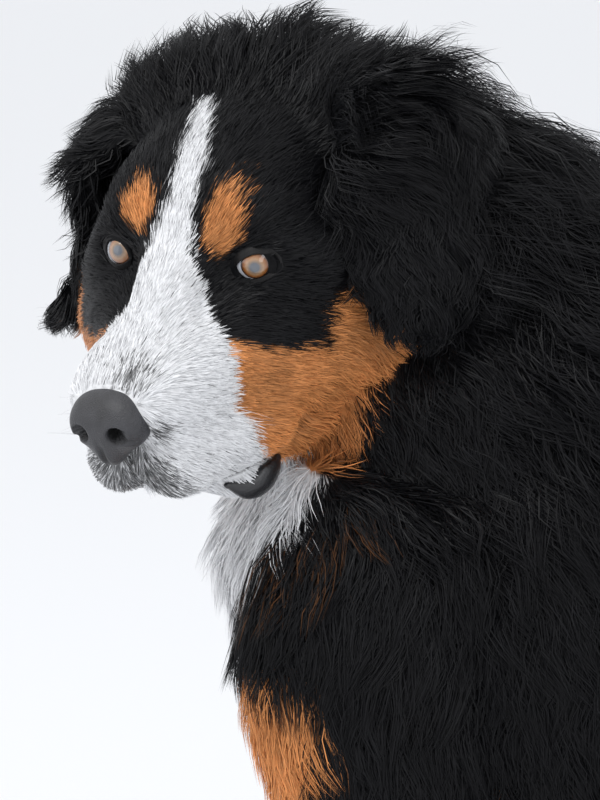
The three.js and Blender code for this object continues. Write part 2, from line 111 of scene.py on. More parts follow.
# %% [markdown]
# ## Studio
# A pale floor and a bright, even surround stand for the snow and the overcast sky. A wide soft
# light from above and the front gives the coat its gentle sheen and puts a glint in the eyes.

# %% Floor, surround and lights
bpy.ops.object.select_all(action="DESELECT")
bpy.ops.mesh.primitive_plane_add(size=40, location=(0, 0, -0.001))
floor = bpy.context.object
floor.name = "floor"
snow = bpy.data.materials.new("floor_pale")
snow.use_nodes = True
snow.node_tree.nodes["Principled BSDF"].inputs["Base Color"].default_value = (0.86, 0.87, 0.89, 1)
snow.node_tree.nodes["Principled BSDF"].inputs["Roughness"].default_value = 0.9
floor.data.materials.append(snow)

world = bpy.data.worlds.new("surround")
bpy.context.scene.world = world
world.use_nodes = True
world.node_tree.nodes["Background"].inputs["Color"].default_value = (0.97, 0.98, 1.0, 1)
world.node_tree.nodes["Background"].inputs["Strength"].default_value = 1.0


def soft_light(name, place, aim_at, size, power, tint=(1, 1, 1)):
    lamp = bpy.data.lights.new(name, "AREA")
    lamp.size, lamp.energy, lamp.color = size, power, tint
    stand = bpy.data.objects.new(name, lamp)
    stand.location = place
    stand.rotation_euler = (Vector(aim_at) - Vector(place)).to_track_quat("-Z", "Y").to_euler()
    bpy.context.scene.collection.objects.link(stand)


head_in_scene = to_scene(HEAD_AT)
soft_light("sky", (0.9, -1.2, 2.6), head_in_scene, 1.2, 22)
soft_light("side", (2.2, 1.4, 1.5), head_in_scene, 1.2, 9, (0.93, 0.96, 1))
soft_light("front", (0.8, -2.4, 0.9), head_in_scene, 1.4, 4)
bpy.context.scene.view_settings.view_transform = "Standard"

# %% [markdown]
# ## Limbs as lofts
# A neck, trunk, leg, tail or ear is drawn as a row of stations: a centre, a half-width, and how
# far the form reaches above and below that centre. A closed surface is then laid through the
# stations, as a boat's skin is laid over its frames. The stations are those of the solid model.


# %% A limb through its stations
def smooth_row(values, shares):
    values = np.asarray(values, float)
    at = np.clip(shares, 0, 1) * (len(values) - 1)
    i = np.minimum(at.astype(int), len(values) - 2)
    t = at - i
    before, after = values[np.maximum(i - 1, 0)], values[np.minimum(i + 2, len(values) - 1)]
    a, b = values[i], values[i + 1]
    slope_in, slope_out = (b - before) / 2, (after - a) / 2
    return a + t * (slope_in + t * (3 * (b - a) - 2 * slope_in - slope_out
                                    + t * (slope_in + slope_out - 2 * (b - a))))


def ease(x, low_end, high_end):
    t = np.clip((x - low_end) / (high_end - low_end), 0, 1)
    return t * t * (3 - 2 * t)


def unit(v):
    return v / np.maximum(np.linalg.norm(v, axis=-1, keepdims=True), 1e-9)


class Limb:
    def __init__(self, stations, up=None, across=None, cup=0, ends=(6, 6)):
        self.centres = np.array([s[:3] for s in stations], float)
        self.sizes = np.array([s[3:] for s in stations], float)
        self.up, self.across, self.cup, self.ends = up, across, cup, ends

    def centre(self, shares):
        return np.stack([smooth_row(self.centres[:, k], shares) for k in range(3)], -1)

    def frame(self, shares):
        shares = np.clip(shares, 0.002, 0.998)
        tangent = unit(self.centre(shares + 0.002) - self.centre(shares - 0.002))
        if self.across is not None:
            guide = np.cross(self.across, tangent)
        else:
            guide = np.tile(self.up, (len(shares), 1))
        above = unit(guide - (guide * tangent).sum(-1, keepdims=True) * tangent)
        return tangent, above, np.cross(tangent, above)

    def size(self, shares, k):
        return smooth_row(self.sizes[:, k], shares)

    def surface(self, shares, angles, scale=1.0):
        tangent, above, side = self.frame(shares)
        c, s = np.cos(angles), np.sin(angles)
        reach = np.where(s > 0, self.size(shares, 1), self.size(shares, 2))
        width = c * (scale * self.size(shares, 0))
        height = s * (scale * reach) - self.cup * (c * scale) ** 2
        return self.centre(shares) + width[:, None] * side + height[:, None] * above

    def mesh(self, rings=24, around=32):
        angles = np.linspace(0, 2 * np.pi, around, endpoint=False)
        rows = []
        leans = np.radians([70, 50, 25])
        for lean in leans:
            tangent = self.frame(np.zeros(1))[0]
            rows.append(self.surface(np.zeros(around), angles, math.cos(lean))
                        - tangent * math.sin(lean) * self.ends[0])
        for share in np.linspace(0, 1, rings + 1):
            rows.append(self.surface(np.full(around, share), angles))
        for lean in leans[::-1]:
            tangent = self.frame(np.ones(1))[0]
            rows.append(self.surface(np.ones(around), angles, math.cos(lean))
                        + tangent * math.sin(lean) * self.ends[1])
        return closed_rows(rows)


def ring_faces(n, around):
    faces = []
    for i in range(n - 1):
        for j in range(around):
            k = (j + 1) % around
            faces.append((i * around + j, i * around + k, (i + 1) * around + k, (i + 1) * around + j))
    return faces


def closed_rows(rows):
    around, n = len(rows[0]), len(rows)
    points = np.vstack(rows + [rows[0].mean(0, keepdims=True), rows[-1].mean(0, keepdims=True)])
    faces = ring_faces(n, around)
    for j in range(around):
        k = (j + 1) % around
        faces.append((n * around, k, j))
        faces.append((n * around + 1, (n - 1) * around + j, (n - 1) * around + k))
    return points, faces


# %% [markdown]
# ## The head's masses
# A sculptor blocks a head out with balls of clay: skull, brows, cheeks, jaw muscles, the bridge of
# the nose and the hanging upper lips. Each ball here is an egg or a rod with rounded ends, and
# neighbouring balls melt into one another. The function tells how far a point is outside them.


# %% Masses that melt together
def egg(centre, radii, lean=0):
    return {
        "centre": np.array(centre, float), "radii": np.array(radii, float), "lean": math.radians(lean)
    }


def rod(start, end, r1, r2):
    return {"start": np.array(start, float), "end": np.array(end, float), "r1": r1, "r2": r2}


def outside(mass, p):
    if "radii" in mass:
        q = p - mass["centre"]
        c, s = math.cos(mass["lean"]), math.sin(mass["lean"])
        q = np.stack([c * q[:, 0] - s * q[:, 2], q[:, 1], s * q[:, 0] + c * q[:, 2]], -1)
        k0 = np.linalg.norm(q / mass["radii"], axis=1)
        k1 = np.linalg.norm(q / mass["radii"] ** 2, axis=1)
        return k0 * (k0 - 1) / np.maximum(k1, 1e-9)
    ab = mass["end"] - mass["start"]
    q = p - mass["start"]
    t = np.clip((q @ ab) / (ab @ ab), 0, 1)
    return np.linalg.norm(q - t[:, None] * ab, axis=1) - (mass["r1"] + (mass["r2"] - mass["r1"]) * t)


def melt(a, b, k):
    h = np.maximum(k - np.abs(a - b), 0) / k
    return np.minimum(a, b) - h * h * k / 4


def blended(masses, k, p):
    q = p.copy()
    q[:, 1] = np.abs(q[:, 1])
    d = np.full(len(q), 1e3)
    for mass in masses:
        d = melt(d, outside(mass, q), k)
    return d


SKULL = [
    egg([-74, 0, 10], [80, 68, 50]),
    egg([-30, 28, 18], [34, 28, 24]),
    egg([-15, 44, 0], [17, 19, 17]),
    egg([-46, 54, -18], [46, 30, 32]),
    egg([-72, 52, -58], [54, 40, 50]),
    egg([-88, 58, -56], [46, 44, 56]),
    egg([-124, 0, -4], [54, 64, 80]),
    egg([-116, 50, 30], [46, 42, 34]),
    egg([-32, 44, -66], [46, 31, 42]),
    rod([-10, 0, 2], [83, 0, -45], 27, 21),
    rod([20, 33, -85], [74, 20, -84], 30, 26),
    egg([46, 24, -50], [58, 28, 30], -8),
    egg([-10, 32, -44], [44, 36, 36]),
]
JAW = [
    rod([-58, 36, -102], [34, 24, -112], 24, 16),
    rod([34, 20, -112], [62, 8, -106], 16, 12),
    egg([-34, 0, -104], [60, 38, 28]),
]
NOSE = [
    egg([98, 0, -51], [17.5, 19.5, 17.5]),
    egg([99, 12.5, -50.5], [14.5, 11.5, 13]),
    egg([92, 0, -45], [15, 18, 10]),
    egg([104, 0, -64], [10, 8.5, 11.5]),
]
UNDERCOAT = 3.0  # the skin lies this far under the tips of the short fur of the head


def head_form(p):
    # on the dog's right the cheek's fur is fuller and the muzzle is slimmer
    f, l, u = p.T
    cheek = np.interp(f, [-110, -80, -45, -12, 16], [0, 16, 25, 22, 5]) * (0.25 + 0.75 * ease(-u, 0, 60))
    muzzle = np.interp(f, [14, 45, 75], [0, 11, 13])
    p = np.stack([f, l + (cheek - muzzle) * ease(-l, 0, 36), u], -1)
    upper = blended(SKULL, 16, p) + UNDERCOAT
    lower = blended(JAW, 14, p) + 2
    return melt(upper, lower, 3)


# %% [markdown]
# ## Blocking out the body
# The stations below are the flesh of the dog without its coat. A sitting dog carries its weight on
# straight forelegs, its back slopes down to the rump, and the hind legs fold beside the belly.

# %% Neck, trunk, tail, legs and ears
neck = Limb([
    [*out_of_head([-104, 0, -14]), 44, 108, 26], [11, -21, 652, 60, 112, 72],
    [0, 20, 608, 84, 122, 112], [0, 62, 548, 98, 130, 128], [0, 96, 490, 80, 80, 80],
], up=[0, 0.7, 0.7], ends=(16, 6))
torso = Limb([
    [0, 12, 560, 66, 76, 112], [0, 40, 520, 104, 132, 146], [0, 96, 462, 124, 148, 160],
    [0, 172, 384, 128, 128, 130], [0, 262, 282, 114, 110, 104], [0, 340, 185, 110, 100, 86],
    [0, 408, 112, 84, 66, 60],
], up=[0, 0.75, 0.66], ends=(20, 26))
tail = Limb([
    [0, 400, 104, 26, 26, 26], [4, 470, 72, 24, 24, 26], [26, 548, 40, 22, 20, 30],
    [78, 612, 32, 20, 18, 28], [150, 650, 30, 17, 16, 26], [222, 656, 28, 10, 10, 24],
], up=[0, 0, 1], ends=(0, 20))


def foreleg(side):
    return Limb([
        [84 * side, 34, 520, 30, 78, 60], [100 * side, 8, 440, 40, 78, 64],
        [110 * side, 10, 350, 38, 60, 55], [108 * side, 0, 250, 31, 35, 40],
        [104 * side, -14, 150, 28, 30, 32], [104 * side, -22, 90, 28, 29, 28],
        [104 * side, -36, 44, 28, 26, 26],
    ], up=[0, -1, 0], ends=(0, 10))


def hindleg(side):
    thigh = Limb([
        [66 * side, 372, 176, 36, 90, 86], [112 * side, 318, 186, 52, 98, 90],
        [140 * side, 246, 196, 50, 82, 78], [152 * side, 182, 204, 41, 57, 55],
    ], up=[0, 0.3, 0.95], ends=(20, 30))
    shank = Limb([
        [152 * side, 190, 190, 38, 42, 42], [148 * side, 262, 128, 34, 36, 38],
        [140 * side, 330, 74, 25, 25, 28], [136 * side, 366, 42, 21, 23, 22],
    ], up=[0, 0.7, 0.7], ends=(10, 10))
    foot = Limb([
        [136 * side, 370, 30, 22, 22, 25], [140 * side, 300, 28, 23, 21, 24],
        [146 * side, 220, 28, 27, 21, 24],
    ], up=[0, 0, 1], ends=(12, 10))
    return [thigh, shank, foot]


def ear(side):
    free = 0 if side > 0 else 1  # the right ear hangs lower and stands further off the neck
    rows = [
        [-96, 40, 34 - 6 * free, 17, 8, 8], [-107, 74, 58 - 14 * free, 31, 8, 8],
        [-97, 101 + 5 * free, 41 - 14 * free, 48, 6, 6],
        [-85, 110 - 2 * free, -2 - 7 * free, 51, 5.5, 5.5],
        [-67, 118 - 2 * free, -36 - 10 * free, 45, 5, 5],
        [-53, 118 + 16 * free, -58 - 9 * free, 24, 4, 4],
    ]
    stations = [[*out_of_head([f, l * side, u]), *sizes] for f, l, u, *sizes in rows]
    across = unit(HEAD_AXES @ [0.89, -(0.45 - 0.4 * free) * side, 0.05]) * side
    return Limb(stations, across=across, cup=12, ends=(4, 8))


SIDES = {"left": 1, "right": -1}
ears = {name: ear(side) for name, side in SIDES.items()}
forelegs = {name: foreleg(side) for name, side in SIDES.items()}
hindlegs = {name: hindleg(side) for name, side in SIDES.items()}
PAWS = [([104 * s, -52, 0], 0.0) for s in (1, -1)]
PAWS += [([150 * s, 176, 0], math.radians(-6 * s)) for s in (1, -1)]
print("limbs", 3 + len(ears) + len(forelegs) + sum(map(len, hindlegs.values())), "paws", len(PAWS))


# %% [markdown]
# ## Paws
# A dog walks on its toes. Each paw is a pad with four arched toes, and the two in the middle reach
# further forward. The claws are made later, as bare horn of their own.


# %% Toes and pads
def ball_mesh(centre, radii, columns=24, rows=14):
    rings = []
    for lean in np.linspace(-80, 80, rows):
        turn = np.linspace(0, 2 * np.pi, columns, endpoint=False)
        c = math.cos(math.radians(lean))
        rings.append(np.array(centre) + np.stack([
            np.cos(turn) * c, np.sin(turn) * c, np.full(columns, math.sin(math.radians(lean)))
        ], -1) * radii)
    return closed_rows(rings)


def turned(points, centre, turn):
    c, s = math.cos(turn), math.sin(turn)
    return np.array(points) @ np.array([[c, s, 0], [-s, c, 0], [0, 0, 1]]) + centre


TOES = (-1.5, -0.5, 0.5, 1.5)


def toe_places(toe):
    outer = abs(toe) > 1
    return toe * 18.3, (-36 if outer else -50), toe * 2.5


def paw_meshes(centre, turn):
    made = [ball_mesh([0, 4, 22], [33, 40, 26])]
    for toe in TOES:
        x, tip, fan = toe_places(toe)
        arch = Limb([
            [x * 0.9, tip + 36, 28, 12, 12, 16], [x + fan * 0.4, tip + 16, 28, 14, 13, 26],
            [x + fan, tip, 15, 12, 10, 14],
        ], up=[0, 0, 1], ends=(0, 7))
        made.append(arch.mesh(8, 16))
    return [(turned(p, np.array(centre), turn), f) for p, f in made]


# %% [markdown]
# ## One skin
# All the lofts are joined and re-meshed as if dipped in rubber: Blender's Remesh modifier turns
# them into one closed surface, and a few rounds of smoothing soften the places where they meet.
# The face is then divided finely and drawn onto the melted masses of the head, vertex by vertex.


# %% Make, select and join objects
def new_object(name, points, faces):
    mesh = bpy.data.meshes.new(name)
    mesh.from_pydata(to_scene(points).tolist(), [], faces)
    made = bpy.data.objects.new(name, mesh)
    bpy.context.scene.collection.objects.link(made)
    return made


def only(*objects):
    bpy.ops.object.select_all(action="DESELECT")
    for item in objects:
        item.select_set(True)
    bpy.context.view_layer.objects.active = objects[0]


def joined(name, pieces):
    only(*pieces)
    bpy.ops.object.join()
    made = bpy.context.object
    made.name = made.data.name = name
    return made


# %% [markdown]
# ## A shell round the head's masses
# The masses are only a rule that says how far away the surface is. To get a mesh from it, rays go
# out from a line through the head, and each stops where the rule says that it meets the skin.

# %% Shrink a shell onto the masses
def head_shell():
    turn = np.linspace(0, 2 * np.pi, 96, endpoint=False)
    spine = np.array([[-120, 0, -20], [70, 0, -66]], float)
    forward = unit(spine[1] - spine[0])
    rows = []
    steps = [(0, a) for a in (-72, -54, -36, -18)] + [(t, 0) for t in np.linspace(0, 1, 60)] \
        + [(1, a) for a in (18, 36, 54, 72)]
    for t, lean in steps:
        start = spine[0] + t * (spine[1] - spine[0])
        round_ = np.stack([0 * turn, np.cos(turn), np.sin(turn)], -1)
        way = unit(round_ * math.cos(math.radians(lean)) + forward * math.sin(math.radians(lean)))
        far = np.full(len(turn), 175.0)
        for _ in range(80):
            far -= np.maximum(head_form(start + way * far[:, None]), 0) * 0.8
        rows.append(start + way * far[:, None])
    points, faces = closed_rows(rows)
    return out_of_head(points), faces


# %% [markdown]
# ## Dipping the lofts
# Booleans could join the lofts too, but leave hard creases and uneven faces. The voxels of Remesh
# give even faces that can be smoothed after. At 4.5 mm they still keep a toe and an ear's edge.

# %% Join the lofts and give them one surface
VOXEL = 0.0045
blocks = [neck.mesh(), torso.mesh(), tail.mesh(), head_shell()]
for name in SIDES:
    blocks += [ears[name].mesh(30, 36), forelegs[name].mesh(), *(part.mesh() for part in hindlegs[name])]
for centre, turn in PAWS:
    blocks += paw_meshes(centre, turn)
skin = joined("skin", [new_object("block", points, faces) for points, faces in blocks])
remesh = skin.modifiers.new("one_surface", "REMESH")
remesh.mode, remesh.voxel_size = "VOXEL", VOXEL
bpy.ops.object.modifier_apply(modifier=remesh.name)
print("skin after remesh", len(skin.data.vertices))


# %% [markdown]
# ## Points in and out
# Blender keeps the points of a mesh in metres of the scene. Two helpers hand them over as an array
# of millimetres in the dog's own frame, and back. Arrays are much quicker than a loop over points.

# %% Read and write a mesh's points, in the dog's frame
def points_of(item):
    flat = np.empty(len(item.data.vertices) * 3)
    item.data.vertices.foreach_get("co", flat)
    return flat.reshape(-1, 3) * 1000 - SHIFT


def set_points(item, points):
    item.data.vertices.foreach_set("co", to_scene(points).ravel())
    item.data.update()


# %% [markdown]
# ## Softening the joins
# Under the coat one muscle runs into the next. Creases between the lofts could be sculpted away by
# hand, but the Smooth modifier does it evenly and takes a weight for every point. That weight is 0
# on the ears, which are thin, and on the feet, and grows to 1 away from them.

# %% Soften the joins, but not the ears and paws
CHUNK = 20000  # points compared at once, to spare memory


def ear_distance(points):
    nearest = np.full(len(points), 1e3)
    for part in ears.values():
        shares = np.repeat(np.linspace(0.15, 1, 24), 9)
        angles = np.tile(np.linspace(0, np.pi, 9), 24)
        tangent, above, side = part.frame(shares)
        flat = part.centre(shares) + (np.cos(angles) * part.size(shares, 0))[:, None] * side \
            - (part.cup * np.cos(angles) ** 2)[:, None] * above
        for start in range(0, len(points), CHUNK):
            chunk = points[start:start + CHUNK]
            d = np.linalg.norm(chunk[:, None] - flat[None], axis=2).min(1)
            nearest[start:start + CHUNK] = np.minimum(nearest[start:start + CHUNK], d)
    return nearest


body = points_of(skin)
near_ear = ear_distance(body)
soften = skin.vertex_groups.new(name="soften")
free = ease(near_ear, 8, 22) * ease(body[:, 2], 60, 110)
for level in range(1, 11):
    chosen = np.nonzero(np.round(free * 10) == level)[0].tolist()
    soften.add(chosen, level / 10, "REPLACE")
smooth = skin.modifiers.new("soften", "SMOOTH")
smooth.factor, smooth.iterations, smooth.vertex_group = 0.5, 14, "soften"
only(skin)
bpy.ops.object.modifier_apply(modifier=smooth.name)

# %% [markdown]
# ## A fine face
# The face has short hair that hides little, so its skin is cut three times as fine as the rest.
# The Subdivide operator works on what is selected, so the face is selected by its place first.

# %% Divide the face finely
body = points_of(skin)
in_head = into_head(body)
is_face = (in_head[:, 0] > -112) & (np.abs(head_form(in_head)) < 9) & (ear_distance(body) > 9)
mesh = skin.data
mesh.vertices.foreach_set("select", is_face)
mesh.edges.foreach_set("select", np.zeros(len(mesh.edges), bool))
polys = np.zeros(len(mesh.polygons), bool)
for poly in mesh.polygons:
    polys[poly.index] = all(is_face[v] for v in poly.vertices)
mesh.polygons.foreach_set("select", polys)
bpy.context.tool_settings.mesh_select_mode = (False, False, True)
bpy.ops.object.mode_set(mode="EDIT")
bpy.ops.mesh.select_mode(type="FACE")
bpy.ops.mesh.subdivide(number_cuts=2, smoothness=0)
bpy.ops.object.mode_set(mode="OBJECT")
print("skin with a fine face", len(skin.data.vertices))


# %% [markdown]
# ## Drawing the face
# Each point of the face slides down the slope of the rule until it lies on the masses. A hollow
# round each eye is cut out of the rule, so that the ball and its lids can sit in it. The right
# hollow lies a little higher, as that eye does in the picture.

# %% Draw the face onto its masses
EYE_HOLE, FUR_GAP = (14.2, 9.8), (13.8, 9.6)  # half-widths and half-heights round an eye
EYE_REACH = 30  # nothing further from an eye than this is cut
RAISED = {1: 0, -1: 4}  # how much higher the hollow lies, left and right


def slope(form, p, step=0.6):
    steps = np.eye(3) * step
    return unit(np.stack([form(p + s) - form(p - s) for s in steps], -1))


def eye_frame(side):
    turn = math.radians(EYE["outward"]) * side
    forward = np.array([math.cos(turn), math.sin(turn), 0])
    across = np.array([-math.sin(turn), math.cos(turn), 0]) * side
    centre = np.array([EYEBALL["f"], EYEBALL["l"] * side, EYEBALL["u"]])
    return centre, forward, across


def face_form(p):
    d = head_form(p)
    for side in SIDES.values():
        centre, forward, across = eye_frame(side)
        q = p - centre
        depth, wide, tall = q @ forward, q @ across, q[:, 2]
        hole = (np.hypot(wide / EYE_HOLE[0], (tall + 0.5 - RAISED[side]) / EYE_HOLE[1]) - 1) * 8
        hole = np.maximum(hole, np.linalg.norm(q, axis=1) - EYE_REACH)
        hole = np.maximum(hole, -depth)
        d = np.maximum(d, -hole)
    return d


body = points_of(skin)
in_head = into_head(body)
pull = ease(-np.abs(head_form(in_head)), -14, -8) * ease(in_head[:, 0], -118, -96)
pull *= ease(ear_distance(body), 8, 12)
move = np.nonzero(pull > 0)[0]
q = in_head[move]
for _ in range(5):
    q -= slope(face_form, q) * face_form(q)[:, None] * pull[move][:, None] * 0.8
in_head[move] = q
set_points(skin, out_of_head(in_head))
only(skin)
bpy.ops.object.shade_smooth()
skin.data.calc_loop_triangles()
print("skin triangles", len(skin.data.loop_triangles))

# %% [markdown]
# ## On the floor
# The pads press flat against the floor, so no point of the skin may lie below it.

# %% Lay the skin on the floor
body = points_of(skin)
body[:, 2] = np.maximum(body[:, 2], 0.3)
set_points(skin, body)
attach(skin, "root")
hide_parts("head", "lower_jaw", "ear_left", "ear_right", "neck", "torso", "foreleg_left",
            "foreleg_right", "hindleg_left", "hindleg_right", "tail")
print("lowest point of the skin", round(body[:, 2].min(), 2))

# %% [markdown]
# ## Markings
# The breed is tricoloured: jet black, with tan cheeks, eyebrow spots and legs, and a white blaze,
# muzzle, chest, paws and tail tip. One function gives the colour at any place, so that the skin
# and every hair that grows from it agree. Its edges are named curves in the head's own frame.

# %% Tones and the outline of the cheek
BLACK = np.array([0.0045, 0.0045, 0.0055])
TAN = np.array([0.58, 0.235, 0.08])
WHITE = np.array([0.77, 0.775, 0.79])
LIP = np.array([0.022, 0.022, 0.025])
# the tan of the cheek as it is seen from the camera's side: millimetres across and up
CHEEK = np.array([
    [12, -44], [38, -50], [60, -52], [80, -50], [82, -30], [91, -18], [102, -22], [116, -33], [123, -50],
    [119, -64], [105, -80], [96, -97], [91, -114], [82, -125], [66, -122], [53, -119], [44, -114],
    [28, -112], [22, -100], [22, -64], [14, -50],
], float)
SEEN_ACROSS, SEEN_UP = np.array([-0.49, 0.856, -0.163]), np.array([-0.478, -0.078, 0.875])


# %% [markdown]
# ## Edges that wander
# On a real dog the edge of a marking is never a clean line. One helper tells how far inside a drawn
# outline a place is. The other is a slow wobble from place to place, the sum of a few sine waves.

# %% Helpers for edges
def inside_outline(outline, x, y):
    """How far inside a closed outline a point is, negative outside it."""
    a, b = outline, np.roll(outline, -1, 0)
    p = np.stack([x, y], -1)[:, None]
    ab = b - a
    t = np.clip(((p - a) * ab).sum(-1) / (ab * ab).sum(-1), 0, 1)
    near = np.linalg.norm(p - (a + t[..., None] * ab), axis=-1).min(1)
    crosses = ((a[:, 1] > p[..., 1]) != (b[:, 1] > p[..., 1])) & (
        p[..., 0] < (b[:, 0] - a[:, 0]) * (p[..., 1] - a[:, 1]) / (b[:, 1] - a[:, 1] + 1e-12) + a[:, 0])
    return np.where(crosses.sum(1) % 2 == 1, near, -near)


def wander(p, size, seed):
    """A slow, smooth wobble from place to place, for natural edges."""
    r = np.random.default_rng(seed)
    total = np.zeros(len(p))
    for k in range(5):
        way = unit(r.normal(size=3)) * (2 * np.pi / size) * (0.7 + 0.5 * k)
        total += np.sin(p @ way + r.uniform(0, 6.3)) / (1 + 0.5 * k)
    return total / 2.2


# %% [markdown]
# ## Where each colour lies
# Each function gives how many millimetres inside a marking a place is, and a negative number
# outside. Such numbers can be joined with a maximum and blurred at the edge as wide as is wanted.

# %% White and tan
def cheek_share(h):
    mirrored = np.abs(h * [0, 1, 0]) + h * [1, 0, 1]
    inside = inside_outline(CHEEK, mirrored @ SEEN_ACROSS, mirrored @ SEEN_UP)
    return np.where((mirrored[:, 1] > 22) & (h[:, 0] > -130), inside, -30)


def white_share(p, h):
    f, l, u = h.T
    bend = np.interp(f, [-90, -72, -50, -25, -4, 17], [-26, -18, -8, 0, 3, 1])
    half = np.interp(f, [-96, -84, -60, -25, -4, 14, 22, 34, 44], [-3, 3, 6.5, 8, 9.5, 15, 25, 42, 60])
    blaze = np.where(u > -34, half - np.abs(l - bend), -9)
    edge = np.interp(u, [-140, -118, -91, -67, -46, -31, -8, 5], [0, 26, 41, 49, 42, 35, 24, 18])
    muzzle = np.where(u < 6, f - edge, -9)
    near_head = (f > -100) & (u > -118)
    head_white = np.where(near_head, np.maximum(blaze, muzzle), -30)
    x, y, z = p.T
    throat = np.interp(z, [440, 455, 475, 500, 535, 560, 600], [-100, -88, -70, -46, -20, -20, -24]) - y
    throat = np.where((z > 440) & (z < 640) & ((f < 60) | (u < -100)) & (u < -70), throat, -30)
    throat = np.minimum(throat, -cheek_share(h))
    width = np.interp(z, [270, 300, 340, 380, 430, 470, 520], [8, 22, 36, 48, 62, 76, 90])
    front = np.interp(z, [270, 340, 430, 500, 560], [130, 40, -20, -30, -40])
    chest = np.where((z > 270) & (z < 540), np.minimum(width - np.abs(x), front - y), -30)
    fore = np.where(y < 60, 62 - z, -30)
    hind = np.where((y > 60) & (y < 210), 48 - z, -30)
    tip = np.where((y > 600) & (z < 110), x - 170, -30)
    return np.maximum.reduce([head_white, throat, chest, fore, hind, tip])


def face_tan_share(h):
    f, l, u = h.T
    a = np.abs(l)
    brow_u, brow_l = np.where(l > 0, 23, 30), np.where(l > 0, 31, 25.5)
    brow_tall = np.where(l > 0, 15, 11)
    brow = 11 * (1 - np.sqrt(((a - brow_l) / 11) ** 2 + ((u - brow_u) / brow_tall) ** 2))
    brow = np.where((f > -34) & (f < 14), brow, -30)
    return np.maximum(cheek_share(h), brow)


def body_tan_share(p):
    x, y, z = p.T
    ax = np.abs(x)
    front = np.interp(z, [90, 200, 260, 300, 350, 400, 418], [80, 60, 20, -8, -28, -24, -30])
    fore = np.where((z < 424) & (y < 100) & (ax > 60), np.minimum(front - y, 418 - z), -30)
    inner = np.where((z < 380) & (y < 100) & (ax > 50), 92 - ax, -30)
    hind = np.maximum(100 - z, np.minimum(128 - ax, 200 - z))
    hind = np.where((y > 120) & (y < 420) & (ax > 95), hind, -30)
    under = np.where((y > 400) & (z < 80) & (x < 60), 26 - z, -30)
    return np.maximum.reduce([fore, inner, hind, under])


# %% [markdown]
# ## One colour for a place
# Tan is laid over black, and white over tan. Chance decides hair by hair along the edges, in the
# brown hairs on the chest and behind the eye, and in the dark ticks of the muzzle and lips.

# %% Colour at a place
def colour_at(p, on_ear, spread=2.0):
    h = into_head(p)
    wobble = 1.6 * wander(p, 34, 3) + 1.0 * wander(p, 13, 4)
    noise = wobble + chance.normal(0, spread, len(p))
    white = ease(white_share(p, h) + noise, -1.5, 1.5)
    face_tan = ease(face_tan_share(h) + noise, -1.5, 1.5)
    body_tan = ease(body_tan_share(p) + 2 * noise, -2, 2)
    x, y, z = p.T
    band = 1 - np.abs(z - 464 - 0.5 * (y + 84)) / 15
    band = np.where((np.abs(x) > 60) & (y < 10) & (y > -100), band, 0)
    brown = (chance.random(len(p)) < 0.35 * ease(band, 0, 0.8)) * (1 - white)
    warm = TAN * (1 + 0.22 * wander(p, 60, 9))[:, None]
    colour = BLACK * np.ones((len(p), 1))
    colour += (warm * 0.11 - colour) * brown[:, None]
    behind_eye = ease(-np.linalg.norm((h - [-17, 60, -11]) * [0.7, 1, 1.6], axis=1), -8, -2)
    faint = 0.5 * (chance.random(len(p)) < 0.6 * behind_eye)
    colour += (warm * 0.6 - colour) * faint[:, None]
    from_eye = (h * [1, 0, 1] + np.abs(h) * [0, 1, 0] - [-3, 44, 0]) * [0.6, 1, 1.3]
    face_tan *= ease(np.linalg.norm(from_eye, axis=1), 14, 17)
    colour += (warm - colour) * np.maximum(body_tan, face_tan)[:, None]
    colour += (WHITE - colour) * white[:, None]
    near = np.linalg.norm(h - [91, 12, -24], axis=1)
    spot = np.maximum(ease(-near, -9, -4), 0.35 * ease(-near, -24, -8))
    lips = 0.85 * ease(-np.linalg.norm((h - [98, 0, -92]) * [1, 0.8, 1.3], axis=1), -36, -20)
    beside_nose = 0.6 * ease(-np.linalg.norm(h - [96, 26, -58], axis=1), -14, -5)
    flecks = 0.012 * ease(h[:, 0], 20, 60)
    dark = (chance.random(len(p)) < np.maximum.reduce([spot, lips, beside_nose, flecks])) & (white > 0.5)
    colour[dark] = colour[dark] * chance.uniform(0.06, 0.5, (dark.sum(), 1))
    colour += (BLACK - colour) * np.reshape(np.broadcast_to(on_ear, len(p)), (-1, 1))
    return colour


def lip_share(h):
    """How bare and dark the skin is, along the edge of the mouth."""
    f, u = h[:, 0], h[:, 2]
    seam = np.abs(blended(SKULL, 16, h) + UNDERCOAT - blended(JAW, 14, h) - 2)
    return ease(-seam, -5, -2) * ease(f, 4, 12) * ease(-u, 90, 100)


# %% [markdown]
# ## Colouring the skin
# The colours are stored on the points, as an attribute that the material reads. The skin is a
# little darker than the hair on it, and bare and black along the lips.

# %% Colour the skin
def add_colour(item, colours):
    layer = item.data.attributes.new("markings", "FLOAT_COLOR", "POINT")
    opaque = np.hstack([colours, np.ones((len(colours), 1))])
    layer.data.foreach_set("color", opaque.astype(np.float32).ravel())


body = points_of(skin)
ear_share = ease(-ear_distance(body), -13, -9) * ease(head_form(into_head(body)), 2, 5)
tone = colour_at(body, ear_share, spread=0.6)
tone *= 0.8 + 0.12 * (tone[:, 1:2] > 0.3)
bare = lip_share(into_head(body))
tone += (LIP - tone) * bare[:, None]
add_colour(skin, tone)
print("coloured points", len(tone), "white share", round((tone[:, 1] > 0.5).mean(), 2))


# %% [markdown]
# ## Skin and coat materials
# Fur is dull along its length and shines softly across it. A rough surface with a little sheen
# does this for the tufts, and the colour comes from the markings stored on the mesh.


